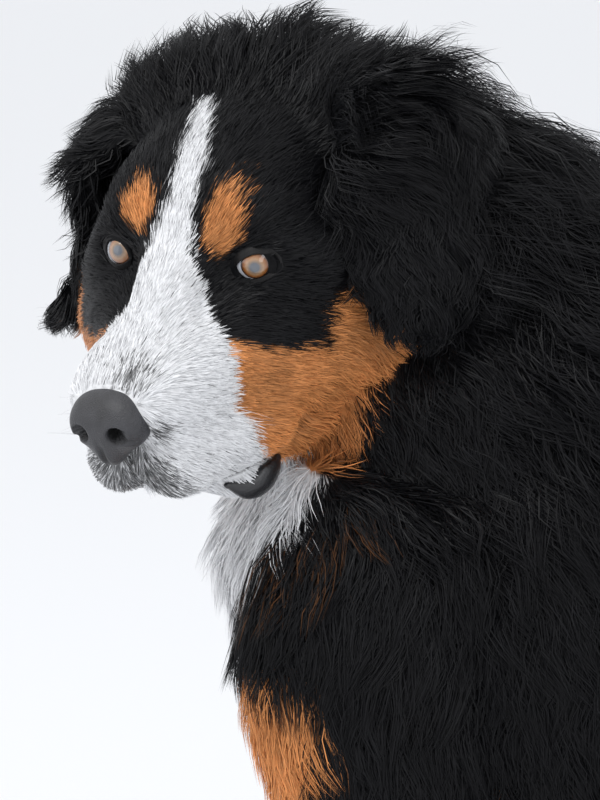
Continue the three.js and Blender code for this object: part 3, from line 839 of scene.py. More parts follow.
# %% Materials that read the markings
def coat_material(name, roughness, sheen, bump=0.0, specular=0.5):
    made = bpy.data.materials.new(name)
    made.use_nodes = True
    nodes, links = made.node_tree.nodes, made.node_tree.links
    shader = nodes["Principled BSDF"]
    shader.inputs["Roughness"].default_value = roughness
    shader.inputs["Sheen Weight"].default_value = sheen
    shader.inputs["Sheen Roughness"].default_value = 0.45
    shader.inputs["Sheen Tint"].default_value = (0.75, 0.82, 1.0, 1)
    shader.inputs["Specular IOR Level"].default_value = specular
    markings = nodes.new("ShaderNodeAttribute")
    markings.attribute_name = "markings"
    place = nodes.new("ShaderNodeTexCoord")
    grain = nodes.new("ShaderNodeTexNoise")
    grain.inputs["Scale"].default_value = 260
    grain.inputs["Detail"].default_value = 3
    ramp = nodes.new("ShaderNodeMapRange")
    ramp.inputs["To Min"].default_value, ramp.inputs["To Max"].default_value = 0.78, 1.22
    tint = nodes.new("ShaderNodeMix")
    tint.data_type, tint.blend_type = "RGBA", "MULTIPLY"
    tint.inputs["Factor"].default_value = 1.0
    links.new(place.outputs["Object"], grain.inputs["Vector"])
    links.new(grain.outputs["Fac"], ramp.inputs["Value"])
    links.new(markings.outputs["Color"], tint.inputs[6])
    links.new(ramp.outputs["Result"], tint.inputs[7])
    links.new(tint.outputs[2], shader.inputs["Base Color"])
    if bump:
        hollow = nodes.new("ShaderNodeBump")
        hollow.inputs["Strength"].default_value = bump
        hollow.inputs["Distance"].default_value = 0.001
        links.new(grain.outputs["Fac"], hollow.inputs["Height"])
        links.new(hollow.outputs["Normal"], shader.inputs["Normal"])
    return made


skin_finish = coat_material("skin_under_the_coat", 0.7, 0.01, bump=0.5, specular=0.12)
hair_finish = coat_material("coat_hair", 0.4, 0.01, specular=0.14)
skin.data.materials.clear()
skin.data.materials.append(skin_finish)

# %% [markdown]
# ## An unwrap of the skin
# Each tuft has a small patch at its root's place on an unwrap of the skin, so that a baked picture
# of the coat stays in order. Blender's Smart UV Project cuts the skin into flat islands.

# %% Unwrap the skin
only(skin)
skin.data.uv_layers.new(name="OFBake")
bpy.ops.object.mode_set(mode="EDIT")
bpy.ops.mesh.select_all(action="SELECT")
bpy.ops.uv.smart_project(angle_limit=math.radians(66), island_margin=0.002)
bpy.ops.object.mode_set(mode="OBJECT")
skin.data.calc_loop_triangles()
tri = np.empty(len(skin.data.loop_triangles) * 3, int)
skin.data.loop_triangles.foreach_get("vertices", tri)
tri = tri.reshape(-1, 3)
loops = np.empty(len(tri) * 3, int)
skin.data.loop_triangles.foreach_get("loops", loops)
flat = np.empty(len(skin.data.loops) * 2)
skin.data.uv_layers["OFBake"].data.foreach_get("uv", flat)
tri_uv = flat.reshape(-1, 2)[loops.reshape(-1, 3)]
normals = np.empty(len(skin.data.vertices) * 3)
skin.data.vertices.foreach_get("normal", normals)
normals = normals.reshape(-1, 3)
body = points_of(skin)
corners = body[tri]
edges = corners[:, 1:] - corners[:, :1]
tri_area = np.linalg.norm(np.cross(edges[:, 0], edges[:, 1]), axis=1) / 2
print("skin area in square metres", round(tri_area.sum() / 1e6, 2))

# %% [markdown]
# ## The lie of the coat
# Hair runs back from the nose, over the skull, down the neck and along the body. Guides set over
# the dog say, for their neighbourhood, which way the hair lies, how long it is, how much it stands
# off and how much it waves. Between guides the skin takes a weighted mean of the nearest ones.

# %% Guides on the head: place, lie, length, lift, wave
HEAD_GUIDES = [
    [(100, 0, -22), (-1, 0, 0.25), 5, 0.16, 0], [(60, 0, -15), (-1, 0, 0.2), 7, 0.16, 0],
    [(20, 0, 5), (-1, 0, 0.6), 8, 0.16, 0], [(0, 0, 36), (-0.8, 0, 0.8), 10, 0.16, 0],
    [(-30, 0, 52), (-1, 0, 0.3), 14, 0.18, 0.03], [(-70, 0, 60), (-1, 0.1, 0), 20, 0.22, 0.05],
    [(-100, 0, 52), (-1, 0, 0), 38, 0.5, 0.1], [(-30, 36, 42), (-1, 0.45, 0.35), 13, 0.18, 0.03],
    [(-62, 52, 44), (-1, 0.5, 0.1), 22, 0.3, 0.06],
    [(-96, 52, 58), (-0.9, 0.5, 0.2), 44, 0.6, 0.12], [(0, 33, 24), (-0.6, 0.5, 0.8), 8, 0.16, 0],
    [(10, 26, 0), (-0.9, 0.6, 0.2), 7, 0.15, 0], [(0, 60, 0), (-0.7, 0.7, -0.2), 8, 0.15, 0],
    [(-30, 74, 5), (-1, 0.4, -0.1), 12, 0.18, 0.02], [(8, 50, -24), (-0.7, 0.5, -0.6), 8, 0.15, 0],
    [(30, 50, -45), (-0.9, 0.3, -0.5), 9, 0.15, 0], [(60, 45, -50), (-0.9, 0.4, -0.35), 9, 0.15, 0],
    [(85, 38, -62), (-0.6, 0.6, -0.6), 8, 0.15, 0], [(100, 22, -74), (-0.3, 0.8, -0.6), 6, 0.15, 0],
    [(60, 46, -85), (-0.8, 0.2, -0.8), 11, 0.16, 0], [(30, 55, -80), (-0.9, 0.2, -0.6), 11, 0.16, 0],
    [(-5, 62, -60), (-0.9, 0.3, -0.5), 14, 0.2, 0.03],
    [(-35, 78, -45), (-0.9, 0.4, -0.5), 19, 0.25, 0.05],
    [(-60, 88, -62), (-0.8, 0.4, -0.7), 26, 0.32, 0.08],
    [(-60, 84, -95), (-0.5, 0.2, -1), 20, 0.2, 0.06],
    [(-20, 62, -105), (-0.8, 0.2, -0.8), 26, 0.28, 0.06],
    [(20, 50, -108), (-0.9, 0.1, -0.5), 14, 0.2, 0.03],
    [(60, 14, -112), (-1, 0.1, -0.3), 9, 0.18, 0], [(10, 10, -122), (-0.8, 0, -0.7), 18, 0.25, 0.05],
    [(-40, 20, -125), (-0.4, 0.1, -1), 34, 0.3, 0.08],
    [(-110, 60, 30), (-0.9, 0.6, -0.3), 44, 0.6, 0.12],
    [(-122, 24, 70), (-0.9, 0.3, 0.4), 50, 0.8, 0.12], [(-130, 0, 78), (-0.9, 0, 0.4), 42, 0.7, 0.12],
    [(40, 46, -112), (-0.6, 0.1, -1), 13, 0.25, 0], [(-60, 80, -125), (-0.3, 0.1, -1), 22, 0.15, 0.06],
    [(0, 60, -142), (-0.4, 0.1, -1), 32, 0.26, 0.08],
    [(-100, 95, -80), (-0.6, 0.3, -0.8), 34, 0.3, 0.12],
    [(-20, 48, -140), (-0.2, 0.1, -1), 22, 0.15, 0.05],
    [(-50, 30, -158), (-0.2, 0.1, -1), 28, 0.2, 0.06],
    [(-70, 68, -142), (-0.3, 0.2, -1), 26, 0.2, 0.06],
    [(-36, 70, -131), (-0.3, 0.1, -1), 22, 0.15, 0.05],
    [(-30, 80, -125), (-0.3, 0.1, -1), 22, 0.15, 0.06],
    [(-125, 60, 50), (-0.9, 0.3, 0.3), 54, 0.8, 0.14],
]


# %% [markdown]
# ## Guides along the limbs
# On the neck, trunk, legs and tail the hair runs along the limb and droops. Guides are set in rings
# round each loft. The crest of the neck and back has the longest hair, and it stands up most.

# %% Guides along the limbs
def limb_guides(part, shares, turns, length, lift, wave, droop):
    rows = []
    for share, size in zip(shares, np.broadcast_to(length, len(shares))):
        for turn in turns:
            s, a = np.array([share]), np.array([math.radians(turn)])
            spot = part.surface(s, a)[0]
            out = unit(spot - part.centre(s)[0])
            lie = part.frame(s)[0][0] + np.array([0, 0, -droop])
            rows.append([spot, unit(lie - (lie @ out) * out), size, lift, wave])
    return rows


ROUND = range(0, 360, 45)
CREST, FLANKS = (45, 90, 135), (0, 180, 225, 270, 315)
guides = []
for (f, l, u), (df, dl, du), length, lift, wave in HEAD_GUIDES:
    for side in (1, -1) if l else (1,):
        way = unit(np.array([df, dl * side, du])) @ HEAD_AXES.T
        guides.append([out_of_head([f, l * side, u]), way, length, lift, wave])
AT_NECK, AT_TRUNK, AT_TAIL = [0.12, 0.3, 0.5, 0.7], [0.12, 0.3, 0.5, 0.7, 0.9], [0.1, 0.3, 0.5, 0.7, 0.9]
guides += limb_guides(neck, AT_NECK, CREST, [58, 76, 84, 84], 0.85, 0.18, 0.3)
guides += limb_guides(neck, AT_NECK, FLANKS, [50, 54, 56, 58], 0.5, 0.18, 0.35)
guides += limb_guides(torso, AT_TRUNK, CREST, [84, 76, 60, 52, 50], 0.7, 0.15, 0.4)
guides += limb_guides(torso, AT_TRUNK, FLANKS, [56, 52, 48, 48, 48], 0.42, 0.14, 0.5)
guides += limb_guides(tail, AT_TAIL, ROUND, [60, 64, 58, 46, 28], 0.3, 0.12, 0.1)
for name in SIDES:
    fore, (thigh, shank, foot) = forelegs[name], hindlegs[name]
    guides += limb_guides(fore, [0.1, 0.3, 0.5], ROUND, [60, 44, 28], 0.3, 0.08, 0.2)
    guides += limb_guides(fore, [0.66, 0.8, 0.95], ROUND, [18, 14, 11], 0.2, 0.02, 0)
    guides += limb_guides(fore, [0.35, 0.5, 0.65], (250, 270, 290), [70, 60, 46], 0.45, 0.12, 0.6)
    guides += limb_guides(thigh, [0.1, 0.5, 0.9], ROUND, [56, 46, 30], 0.3, 0.08, 1.2)
    guides += limb_guides(shank, [0.3, 0.8], ROUND, [26, 22], 0.22, 0.03, 0)
    guides += limb_guides(foot, [0.2, 0.5, 0.9], ROUND, [14, 12, 10], 0.2, 0.02, 0)
AT_EAR = [0.2, 0.35, 0.5, 0.65, 0.8, 0.95]
EAR_HAIR = {"left": [38, 46, 44, 34, 26, 20], "right": [26, 34, 38, 34, 26, 20]}
ear_guides = []
for name in SIDES:
    ear_guides += limb_guides(ears[name], AT_EAR, range(0, 360, 60), EAR_HAIR[name], 0.24, 0.18, 0.2)
print("guides", len(guides), len(ear_guides))


# %% [markdown]
# ## Combing
# Every point of the skin takes its lie, length, lift and wave from the guides, the nearest most of
# all, and the lie is then laid flat on the skin. Ears listen only to guides of their own.

# %% Comb the skin
def combed(points, normals, rows, reach=14.0):
    places = np.array([r[0] for r in rows])
    values = np.array([[*r[1], *r[2:]] for r in rows], float)
    result = np.empty((len(points), 6))
    for start in range(0, len(points), CHUNK):
        chunk = points[start:start + CHUNK]
        d2 = ((chunk[:, None] - places[None]) ** 2).sum(-1)
        weight = 1 / (d2 + reach ** 2) ** 2
        result[start:start + CHUNK] = (weight @ values) / weight.sum(1, keepdims=True)
    lie = result[:, :3]
    lie = unit(lie - (lie * normals).sum(1, keepdims=True) * normals)
    return lie, result[:, 3], result[:, 4], result[:, 5]


EAR_THICKNESS = 12  # skin nearer than this to an ear's middle belongs to the ear
on_ear = ear_distance(body) < EAR_THICKNESS
on_ear &= (head_form(into_head(body)) > 2)
lie, length, lift, wave = combed(body, normals, guides)
e_lie, e_length, e_lift, e_wave = combed(body[on_ear], normals[on_ear], ear_guides)
lie[on_ear], length[on_ear], lift[on_ear], wave[on_ear] = e_lie, e_length, e_lift, e_wave
head_part = (head_form(into_head(body)) < 4) & (into_head(body)[:, 0] > -96) & ~on_ear
print("combed", len(body), "ear share", round(on_ear.mean(), 3))

# %% [markdown]
# ## Tufts
# A tuft is a thin blade: a few hairs that cling together, wider near the root and drawn out to a
# point. All tufts of a region are made at once with arrays, because hundreds of thousands are
# needed. First the roots are scattered over the skin, by its area and by how dense the coat is.


# %% Scatter the roots
def scatter(r, count, chosen, density):
    weight = tri_area * chosen[tri].mean(1)
    if density is not None:
        weight = weight * density[tri].mean(1)
    pick = r.choice(len(tri), count, p=weight / weight.sum())
    a, b = r.random(count), r.random(count)
    over = a + b > 1
    a[over], b[over] = 1 - a[over], 1 - b[over]
    return pick, np.stack([1 - a - b, a, b], -1)


# %% [markdown]
# ## From root to tip
# A hair leaves the skin at an angle and bends back along its lie. A slow wave, which changes from
# place to place, swings it sideways, and a long hair sags under its own weight.


# %% Spines of the tufts
def spines(root, out, way, side, far, stand, waving, t, seed):
    phase = wander(root, 70, seed + 5) * 4
    rise = far[:, None] * (stand[:, None] * (t - 0.55 * t ** 2))
    swing = far[:, None] * waving[:, None] * (np.sin(t * 5.2 + phase[:, None]) - np.sin(phase)[:, None])
    spine = root[:, None] + (far[:, None] * t)[..., None] * way[:, None] \
        + rise[..., None] * out[:, None] + swing[..., None] * side[:, None]
    sag = 0.10 * np.maximum(far - 24, 0)
    spine[..., 2] -= sag[:, None] * t ** 2
    return spine


# %% [markdown]
# ## Locks
# Long hair gathers in locks. Some tufts lead, and the tips of those round a leader are drawn to it,
# unless they lie another way. A k-d tree finds the nearest leader of each root.


# %% Gather the tips into locks
def gather(r, spine, root, way, t, clump, every):
    leaders = r.choice(len(root), max(len(root) // every, 1), replace=False)
    tree = kdtree.KDTree(len(leaders))
    for i, k in enumerate(leaders):
        tree.insert(root[k], i)
    tree.balance()
    owner = leaders[np.array([tree.find(p)[1] for p in root])]
    pull = clump * t[None, :] ** 1.4
    same_way = ((way * way[owner]).sum(1) > 0.3)[:, None]
    return spine + (spine[owner] - spine) * (pull * same_way)[..., None]


# %% [markdown]
# ## Blades
# Along its spine each tuft is a strip of four-sided faces that ends in a triangle. Adding faces one
# by one would take minutes, so all corners are written to the mesh in one array.


# %% Blades along the spines
def blade_mesh(name, spine, wide, flat_side):
    count, steps = len(spine), spine.shape[1] - 1
    left = spine - wide[..., None] * flat_side[:, None]
    other = spine + wide[..., None] * flat_side[:, None]
    pairs = np.stack([left[:, :steps], other[:, :steps]], 2).reshape(count, steps * 2, 3)
    points = np.concatenate([pairs, spine[:, steps:]], 1)
    quads = [[2 * k, 2 * k + 1, 2 * k + 3, 2 * k + 2] for k in range(steps - 1)]
    tip = [2 * steps - 2, 2 * steps - 1, 2 * steps]
    one_blade = np.concatenate([np.ravel(quads), tip]).astype(int)
    blade_corners = ((np.arange(count) * (steps * 2 + 1))[:, None] + one_blade).ravel()
    sizes = np.tile([4] * (steps - 1) + [3], count)
    mesh = bpy.data.meshes.new(name)
    mesh.vertices.add(points.shape[0] * points.shape[1])
    mesh.vertices.foreach_set("co", to_scene(points.reshape(-1, 3)).ravel())
    mesh.loops.add(len(blade_corners))
    mesh.loops.foreach_set("vertex_index", blade_corners)
    mesh.polygons.add(len(sizes))
    mesh.polygons.foreach_set("loop_start", np.concatenate([[0], np.cumsum(sizes)[:-1]]))
    mesh.polygons.foreach_set("loop_total", sizes)
    mesh.update(calc_edges=True)
    mesh.polygons.foreach_set("use_smooth", np.ones(len(sizes), bool))
    made = bpy.data.objects.new(name, mesh)
    bpy.context.scene.collection.objects.link(made)
    return made, blade_corners


# %% [markdown]
# ## Colour and patches of the blades
# A tuft has one colour from the markings, a shade of its own, and is darker near the root, where
# less light comes. Each has a small patch on the unwrap, at the place of its root.

# %% Colour and unwrap the blades
PATCH = 0.0015


def colour_blades(r, made, tones, t):
    steps = len(t) - 1
    pale = ease(tones[:, 1], 0.2, 0.6)
    shade = 1 + (r.uniform(-0.28, 0.28, len(tones))) * (1 - 0.75 * pale)
    light = np.interp(t, [0, 0.5, 1], [0.6, 1.0, 1.1])
    light = light[None] + (1 - light[None]) * 0.8 * pale[:, None]
    per_row = np.concatenate([np.repeat(light[:, :steps], 2, 1), light[:, steps:]], 1)
    colours = ((tones * shade[:, None])[:, None] * per_row[:, :, None]).reshape(-1, 3)
    add_colour(made, np.clip(colours, 0, 0.92))


def patch_blades(made, uv, blade_corners, steps):
    offsets = []
    for k in range(2 * steps):
        offsets.append([PATCH if k % 2 else -PATCH, PATCH * (k // 2) * 2 / steps - PATCH])
    places = uv[:, None] + np.array(offsets + [[0, PATCH]])[None]
    layer = made.data.uv_layers.new(name="OFBake")
    layer.data.foreach_set("uv", places.reshape(-1, 2)[blade_corners].ravel())


# %% [markdown]
# ## A piece of coat
# All of this together grows one piece. The colour is read at the middle of the hair and not at its
# root, so that an edge between two colours stays where it is drawn.


# %% Grow a piece of coat
def grow(name, count, chosen, thick, steps, clump=0.0, clump_every=0, seed=0, density=None):
    r = np.random.default_rng(seed)
    pick, share = scatter(r, count, chosen, density)

    def blend(values):
        v = values[tri[pick]]
        return (v * (share[..., None] if v.ndim == 3 else share)).sum(1)

    root, out = blend(body), unit(blend(normals))
    way = unit(blend(lie) + 0.12 * r.normal(size=(count, 3)))
    way = unit(way - (way * out).sum(1, keepdims=True) * out)
    far = blend(length) * r.uniform(0.7, 1.15, count)
    stand = blend(lift) * r.uniform(0.6, 1.4, count)
    side = np.cross(way, out)
    t = np.linspace(0, 1, steps + 1)
    spine = spines(root, out, way, side, far, stand, blend(wave), t, seed)
    if clump_every:
        spine = gather(r, spine, root, way, t, clump, clump_every)
    spine[..., 2] = np.maximum(spine[..., 2], 0.4)
    twist = r.normal(0, 0.45, count)
    flat_side = unit(np.cos(twist)[:, None] * side + np.sin(twist)[:, None] * out)
    half = thick * r.uniform(0.7, 1.3, count) / 2
    wide = half[:, None] * np.interp(t, [0, 0.3, 0.7, 1], [0.8, 1, 0.7, 0])
    made, blade_corners = blade_mesh(name, spine, wide, flat_side)
    tones = colour_at(root + (0.45 * far)[:, None] * way, blend(ear_share))
    colour_blades(r, made, tones, t)
    patch_blades(made, (tri_uv[pick] * share[..., None]).sum(1), blade_corners, steps)
    made.data.materials.append(hair_finish)
    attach(made, "root")
    print(name, "tufts", count, "triangles", count * (2 * (steps - 1) + 1))


# %% [markdown]
# ## Where the pieces grow
# The coat is cut into pieces of fewer than 200,000 triangles. There is no hair on the nose, the
# lips or the lids, and hair is denser on the side that the camera sees.

# %% Where each piece of coat grows
heads = into_head(body)
bare_lip = lip_share(heads)
nose_gap = ease(blended(NOSE, 8, heads), 0, 1.5)
eye_gap = np.ones(len(body))
for side in SIDES.values():
    centre, forward, across = eye_frame(side)
    q = heads - centre
    ring = np.hypot((q @ across) / FUR_GAP[0], (q[:, 2] + 0.5 - RAISED[side]) / FUR_GAP[1])
    eye_gap *= np.where(np.linalg.norm(q, axis=1) < EYE_REACH, ease(ring, 1.0, 1.1), 1)
seen = 1 + 0.7 * ease((normals @ np.array(back)), -0.2, 0.3)
face_density = (1 - bare_lip) * nose_gap * eye_gap * seen
x, y, z = body.T
is_leg = ((z < 300) & (y < 110)) | ((z < 110) & (y > 110) & (y < 400) & (np.abs(x) > 95))
is_tail = (y > 425) & (z < 130)
is_front = (y < 130) & (z > 300) & ~is_leg & ~head_part & ~on_ear
is_rear = ~(is_front | is_leg | is_tail | head_part | on_ear)
print("points of legs, tail, front, rear", *(int(m.sum()) for m in (is_leg, is_tail, is_front, is_rear)))

# %% [markdown]
# ## How many tufts
# Short hair needs only three steps. Long hair takes four, so that it can wave, and it gathers in
# locks. The finest tufts are on the face.

# %% Grow the coat
FACE, LEG = dict(thick=0.55, steps=3), dict(thick=0.9, steps=3)
LONG = dict(thick=0.72, steps=4, clump=0.7, clump_every=32)
EAR_COAT = dict(thick=0.75, steps=4, clump=0.55, clump_every=22)
few = 1.0
plans = [
    ("coat_face_1", 38000, head_part, FACE, face_density),
    ("coat_face_2", 38000, head_part, FACE, face_density),
    ("coat_ears", 24000, on_ear, EAR_COAT, seen), ("coat_front_1", 27000, is_front, LONG, seen),
    ("coat_front_2", 27000, is_front, LONG, seen), ("coat_front_3", 27000, is_front, LONG, seen),
    ("coat_rear_1", 20000, is_rear, LONG, None), ("coat_rear_2", 10000, is_rear, LONG, None),
    ("coat_legs", 26000, is_leg, LEG, None), ("coat_tail", 7000, is_tail, LONG, None),
]
for number, (name, count, chosen, style, density) in enumerate(plans):
    grow(name, int(count * few), chosen, seed=100 + number, density=density, **style)

# %% [markdown]
# ## A lighter skin
# The skin had to be fine while the coat grew from it. Most of it is hidden now, and the Decimate
# modifier takes out the points that matter least.

# %% Lighten the skin, now that the coat has grown from it
SKIN_TRIANGLES = 185000
only(skin)
lighter = skin.modifiers.new("lighter", "DECIMATE")
lighter.ratio = min(1.0, SKIN_TRIANGLES / len(tri))
bpy.ops.object.modifier_apply(modifier=lighter.name)
skin.data.calc_loop_triangles()
print("skin triangles", len(tri), "now", len(skin.data.loop_triangles))

# %% [markdown]
# ## Eyes
# A dog's eye is a ball in which a clear dome covers the coloured iris. Amber fibres run out from a
# dark, round pupil, and a dark ring bounds them. The ball is a sphere whose pole is turned to
# where the dog looks, so that rings round the pole can be coloured by their angle.


# %% Eyeballs
def ways_of(ball):
    flat = np.empty(len(ball.data.vertices) * 3)
    ball.data.vertices.foreach_get("co", flat)
    return unit(flat.reshape(-1, 3))


def eyeball(name, side, gaze):
    bpy.ops.object.select_all(action="DESELECT")
    bpy.ops.mesh.primitive_uv_sphere_add(segments=64, ring_count=48, radius=0.001)
    ball = bpy.context.object
    ball.name = ball.data.name = name
    p = ways_of(ball)
    angle = np.degrees(np.arccos(np.clip(p[:, 2], -1, 1)))
    radius = EYEBALL["radius"] + 0.8 * ease(-angle, -38, -10)
    pole = unit(np.array(gaze))
    across = unit(np.cross([0, 0, 1.0], pole))
    over = np.cross(pole, across)
    centre = eye_frame(side)[0]
    turned_points = p[:, :1] * across + p[:, 1:2] * over + p[:, 2:] * pole
    set_points(ball, out_of_head(centre + turned_points * radius[:, None]))
    rings = ball.data.attributes.new("ring", "FLOAT", "POINT")
    rings.data.foreach_set("value", (angle / 90).astype(np.float32))
    only(ball)
    bpy.ops.object.shade_smooth()
    ball.data.materials.clear()
    ball.data.materials.append(eye_finish)
    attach(ball, "root")
    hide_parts(name)
    return ball


# %% [markdown]
# ## Iris, pupil and white
# A colour ramp turns the angle from the pole into rings: a pupil painted grey, as a painted
# reflection of the sky on it, a pale inner iris, an orange outer one, a dark rim and the white. A
# little noise frays the rings, and a clear coat makes them wet.

# %% Iris, pupil and white of the eye
eye_finish = bpy.data.materials.new("amber_eye")
eye_finish.use_nodes = True
nodes, links = eye_finish.node_tree.nodes, eye_finish.node_tree.links
shader = nodes["Principled BSDF"]
shader.inputs["Roughness"].default_value = 0.06
shader.inputs["Coat Weight"].default_value = 1.0
shader.inputs["Coat Roughness"].default_value = 0.02
ring = nodes.new("ShaderNodeAttribute")
ring.attribute_name = "ring"
fibres = nodes.new("ShaderNodeTexNoise")
fibres.inputs["Scale"].default_value = 900
place = nodes.new("ShaderNodeTexCoord")
links.new(place.outputs["Object"], fibres.inputs["Vector"])
shift = nodes.new("ShaderNodeMath")
shift.operation = "MULTIPLY_ADD"
shift.inputs[1].default_value = 0.03
links.new(fibres.outputs["Fac"], shift.inputs[0])
links.new(ring.outputs["Fac"], shift.inputs[2])
ramp = nodes.new("ShaderNodeValToRGB")
# the first two stops paint the pupil grey: a painted reflection of the sky on a black pupil
stops = [
    (0.0, (0.10, 0.11, 0.13)), (0.13, (0.09, 0.10, 0.12)), (0.19, (0.22, 0.15, 0.10)),
    (0.25, (0.33, 0.19, 0.10)), (0.33, (0.27, 0.10, 0.025)), (0.395, (0.12, 0.038, 0.01)),
    (0.425, (0.02, 0.012, 0.01)), (0.445, (0.06, 0.05, 0.05)), (0.475, (0.50, 0.52, 0.56)),
    (1.0, (0.6, 0.58, 0.6)),
]
while len(ramp.color_ramp.elements) < len(stops):
    ramp.color_ramp.elements.new(0.5)
for element, (at, colour) in zip(ramp.color_ramp.elements, stops):
    element.position, element.color = at, (*colour, 1)
links.new(shift.outputs[0], ramp.inputs["Fac"])
links.new(ramp.outputs["Color"], shader.inputs["Base Color"])
for name, side, gaze in (("eye_left", 1, (0.891, 0.443, 0.05)), ("eye_right", -1, (0.90, 0.071, 0.41))):
    ball = eyeball(name, side, gaze)
    print(name, "points", len(ball.data.vertices))


# %% [markdown]
# ## Eyelids
# The lids are black, slightly moist rims that hug the ball and slope out into the fur. Each pair is
# a strip of rings round the almond-shaped opening, from the edge on the ball to under the skin.


# %% Lids
# how far each ring of the lids is spread from the opening, and how far it stands off the ball
LID_RINGS = (
    (0.93, -1.5), (0.985, 0.3), (1.0, 0.8), (1.05, 1.2), (1.13, 1.2), (1.24, 0.6), (1.36, 0.1),
    (1.48, -0.4), (1.62, -1.0), (1.8, -2.5),
)


def lids(name, side):
    centre, forward, across = eye_frame(side)
    turn = np.linspace(0, 2 * np.pi, 96, endpoint=False)
    c, s = np.cos(turn), np.sin(turn)
    # the opening, across and up from the eye's middle, and the point that the rings spread from
    if side > 0:
        wide, tall, pivot = 12.6 * c + 0.6, -4.7 + 2.6 * c + np.where(s > 0, 12.0, 2.8) * s, (0, -1)
    else:
        wide, tall, pivot = 9.2 * c - 1.6, 3.9 + 0.6 * c + 6.9 * s, (-1.6, 3.9)

    def place(y, z, x):
        return centre + x[:, None] * forward + y[:, None] * across + z[:, None] * [0, 0, 1]

    def over_ball(y, z, rise, least):
        return np.sqrt(np.maximum((EYEBALL["radius"] + rise) ** 2 - y ** 2 - z ** 2, least))

    def skin_depth(y, z):
        x = np.full(len(y), 26.0)
        for _ in range(60):
            x = x - np.maximum(head_form(place(y, z, x)), 0) * 0.7
        return x

    rings = []
    for spread, rise in LID_RINGS:
        y = pivot[0] + (wide - pivot[0]) * (1 + (spread - 1) * 0.8)
        z = pivot[1] + (tall - pivot[1]) * (1 + (spread - 1) * 0.9)
        on_ball = over_ball(y, z, rise, 9)
        on_skin = skin_depth(y, z)
        margin = np.maximum(on_ball, on_skin - (4 if side > 0 else 9))
        share = ease(spread, 1.0, 1.36)
        depth = margin + (on_skin + min(rise, 1.2) - margin) * share
        if spread >= 1:
            depth = np.maximum(depth, over_ball(y, z, 0.9, 0))
        rings.append(place(y, z, depth))
    made = new_object(name, out_of_head(np.vstack(rings)), ring_faces(len(rings), len(turn)))
    only(made)
    bpy.ops.object.mode_set(mode="EDIT")
    bpy.ops.mesh.select_all(action="SELECT")
    bpy.ops.mesh.normals_make_consistent(inside=False)
    bpy.ops.object.mode_set(mode="OBJECT")
    wall = made.modifiers.new("wall", "SOLIDIFY")
    wall.thickness, wall.offset = 0.0006, -1
    bpy.ops.object.modifier_apply(modifier=wall.name)
    bpy.ops.object.shade_smooth()
    made.data.materials.append(lid_finish)
    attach(made, "root")
    return made


# %% [markdown]
# ## Bare skin
# Nose leather, lids, lips and horn share one finish: blotches of two tones from noise, and the small
# bumps of a Voronoi texture. The nostrils grow black with the depth that is stored on the nose, as
# painted shade in their hollows.

# %% A finish for bare skin
def bare_skin(name, colour, roughness, scale, bump, coat, painted_shade_by=None, specular=0.5):
    made = bpy.data.materials.new(name)
    made.use_nodes = True
    nodes, links = made.node_tree.nodes, made.node_tree.links
    shader = nodes["Principled BSDF"]
    shader.inputs["Roughness"].default_value = roughness
    shader.inputs["Specular IOR Level"].default_value = specular
    shader.inputs["Coat Weight"].default_value = coat
    shader.inputs["Coat Roughness"].default_value = 0.25
    place = nodes.new("ShaderNodeTexCoord")
    cells = nodes.new("ShaderNodeTexVoronoi")
    cells.inputs["Scale"].default_value = scale
    blotch = nodes.new("ShaderNodeTexNoise")
    blotch.inputs["Scale"].default_value = 90
    ramp = nodes.new("ShaderNodeValToRGB")
    ramp.color_ramp.elements[0].position, ramp.color_ramp.elements[1].position = 0.3, 0.72
    ramp.color_ramp.elements[0].color = (*[c * 0.7 for c in colour], 1)
    ramp.color_ramp.elements[1].color = (*[c * 1.35 for c in colour], 1)
    hollow = nodes.new("ShaderNodeBump")
    hollow.inputs["Strength"].default_value = bump
    hollow.inputs["Distance"].default_value = 0.0006
    hollow.invert = True
    links.new(place.outputs["Object"], cells.inputs["Vector"])
    links.new(place.outputs["Object"], blotch.inputs["Vector"])
    links.new(blotch.outputs["Fac"], ramp.inputs["Fac"])
    base = ramp.outputs["Color"]
    # painted shade: the colour is mixed towards black by a stored depth, for the shade in hollows
    if painted_shade_by:
        depth, shaded = nodes.new("ShaderNodeAttribute"), nodes.new("ShaderNodeMix")
        depth.attribute_name = painted_shade_by
        shaded.data_type = "RGBA"
        shaded.inputs[7].default_value = (0.002, 0.002, 0.002, 1)
        links.new(depth.outputs["Fac"], shaded.inputs["Factor"])
        links.new(base, shaded.inputs[6])
        base = shaded.outputs[2]
    links.new(base, shader.inputs["Base Color"])
    links.new(cells.outputs["Distance"], hollow.inputs["Height"])
    links.new(hollow.outputs["Normal"], shader.inputs["Normal"])
    return made


lid_finish = bare_skin("lid_rim", (0.006, 0.0055, 0.006), 0.5, 1800, 0.25, 0.04, specular=0.2)
# the nose leather is darkened by the depth stored as "hollow": painted shade in the nostrils
nose_finish = bare_skin("nose_leather", (0.026, 0.026, 0.030), 0.5, 1100, 0.6, 0.15, "hollow")
lip_finish = bare_skin("lip_skin", (0.010, 0.010, 0.012), 0.35, 700, 0.4, 0.35)
for name, side in SIDES.items():
    pair = lids("lids_" + name, side)
    print(pair.name, "faces", len(pair.data.polygons))

# %% [markdown]
# ## Nose
# The nose leather is a broad, grained pad with a comma-shaped nostril under each wing and a groove
# down the middle. A ball is drawn onto the melted masses of the nose, with the nostrils cut out.


# %% Nose
def nose_form(p):
    q = p.copy()
    q[:, 1] = np.abs(q[:, 1])
    d = blended(NOSE, 8, p)
    holes = [
        egg([112, 11.5, -52], [11, 5.4, 5.2]), rod([114, 15, -56], [103, 24, -60], 2.2, 1.0),
        rod([118, 0, -54], [106, 0, -84], 1.4, 1.4),
    ]
    for hole in holes:
        d = -melt(-d, outside(hole, q), 2.0)
    return d


# %% [markdown]
# ## Drawing the nose
# Each point of the ball slides along its own ray, first in to the surface and then to and fro until
# it lies on it, so the nostrils and the groove come out as real hollows.

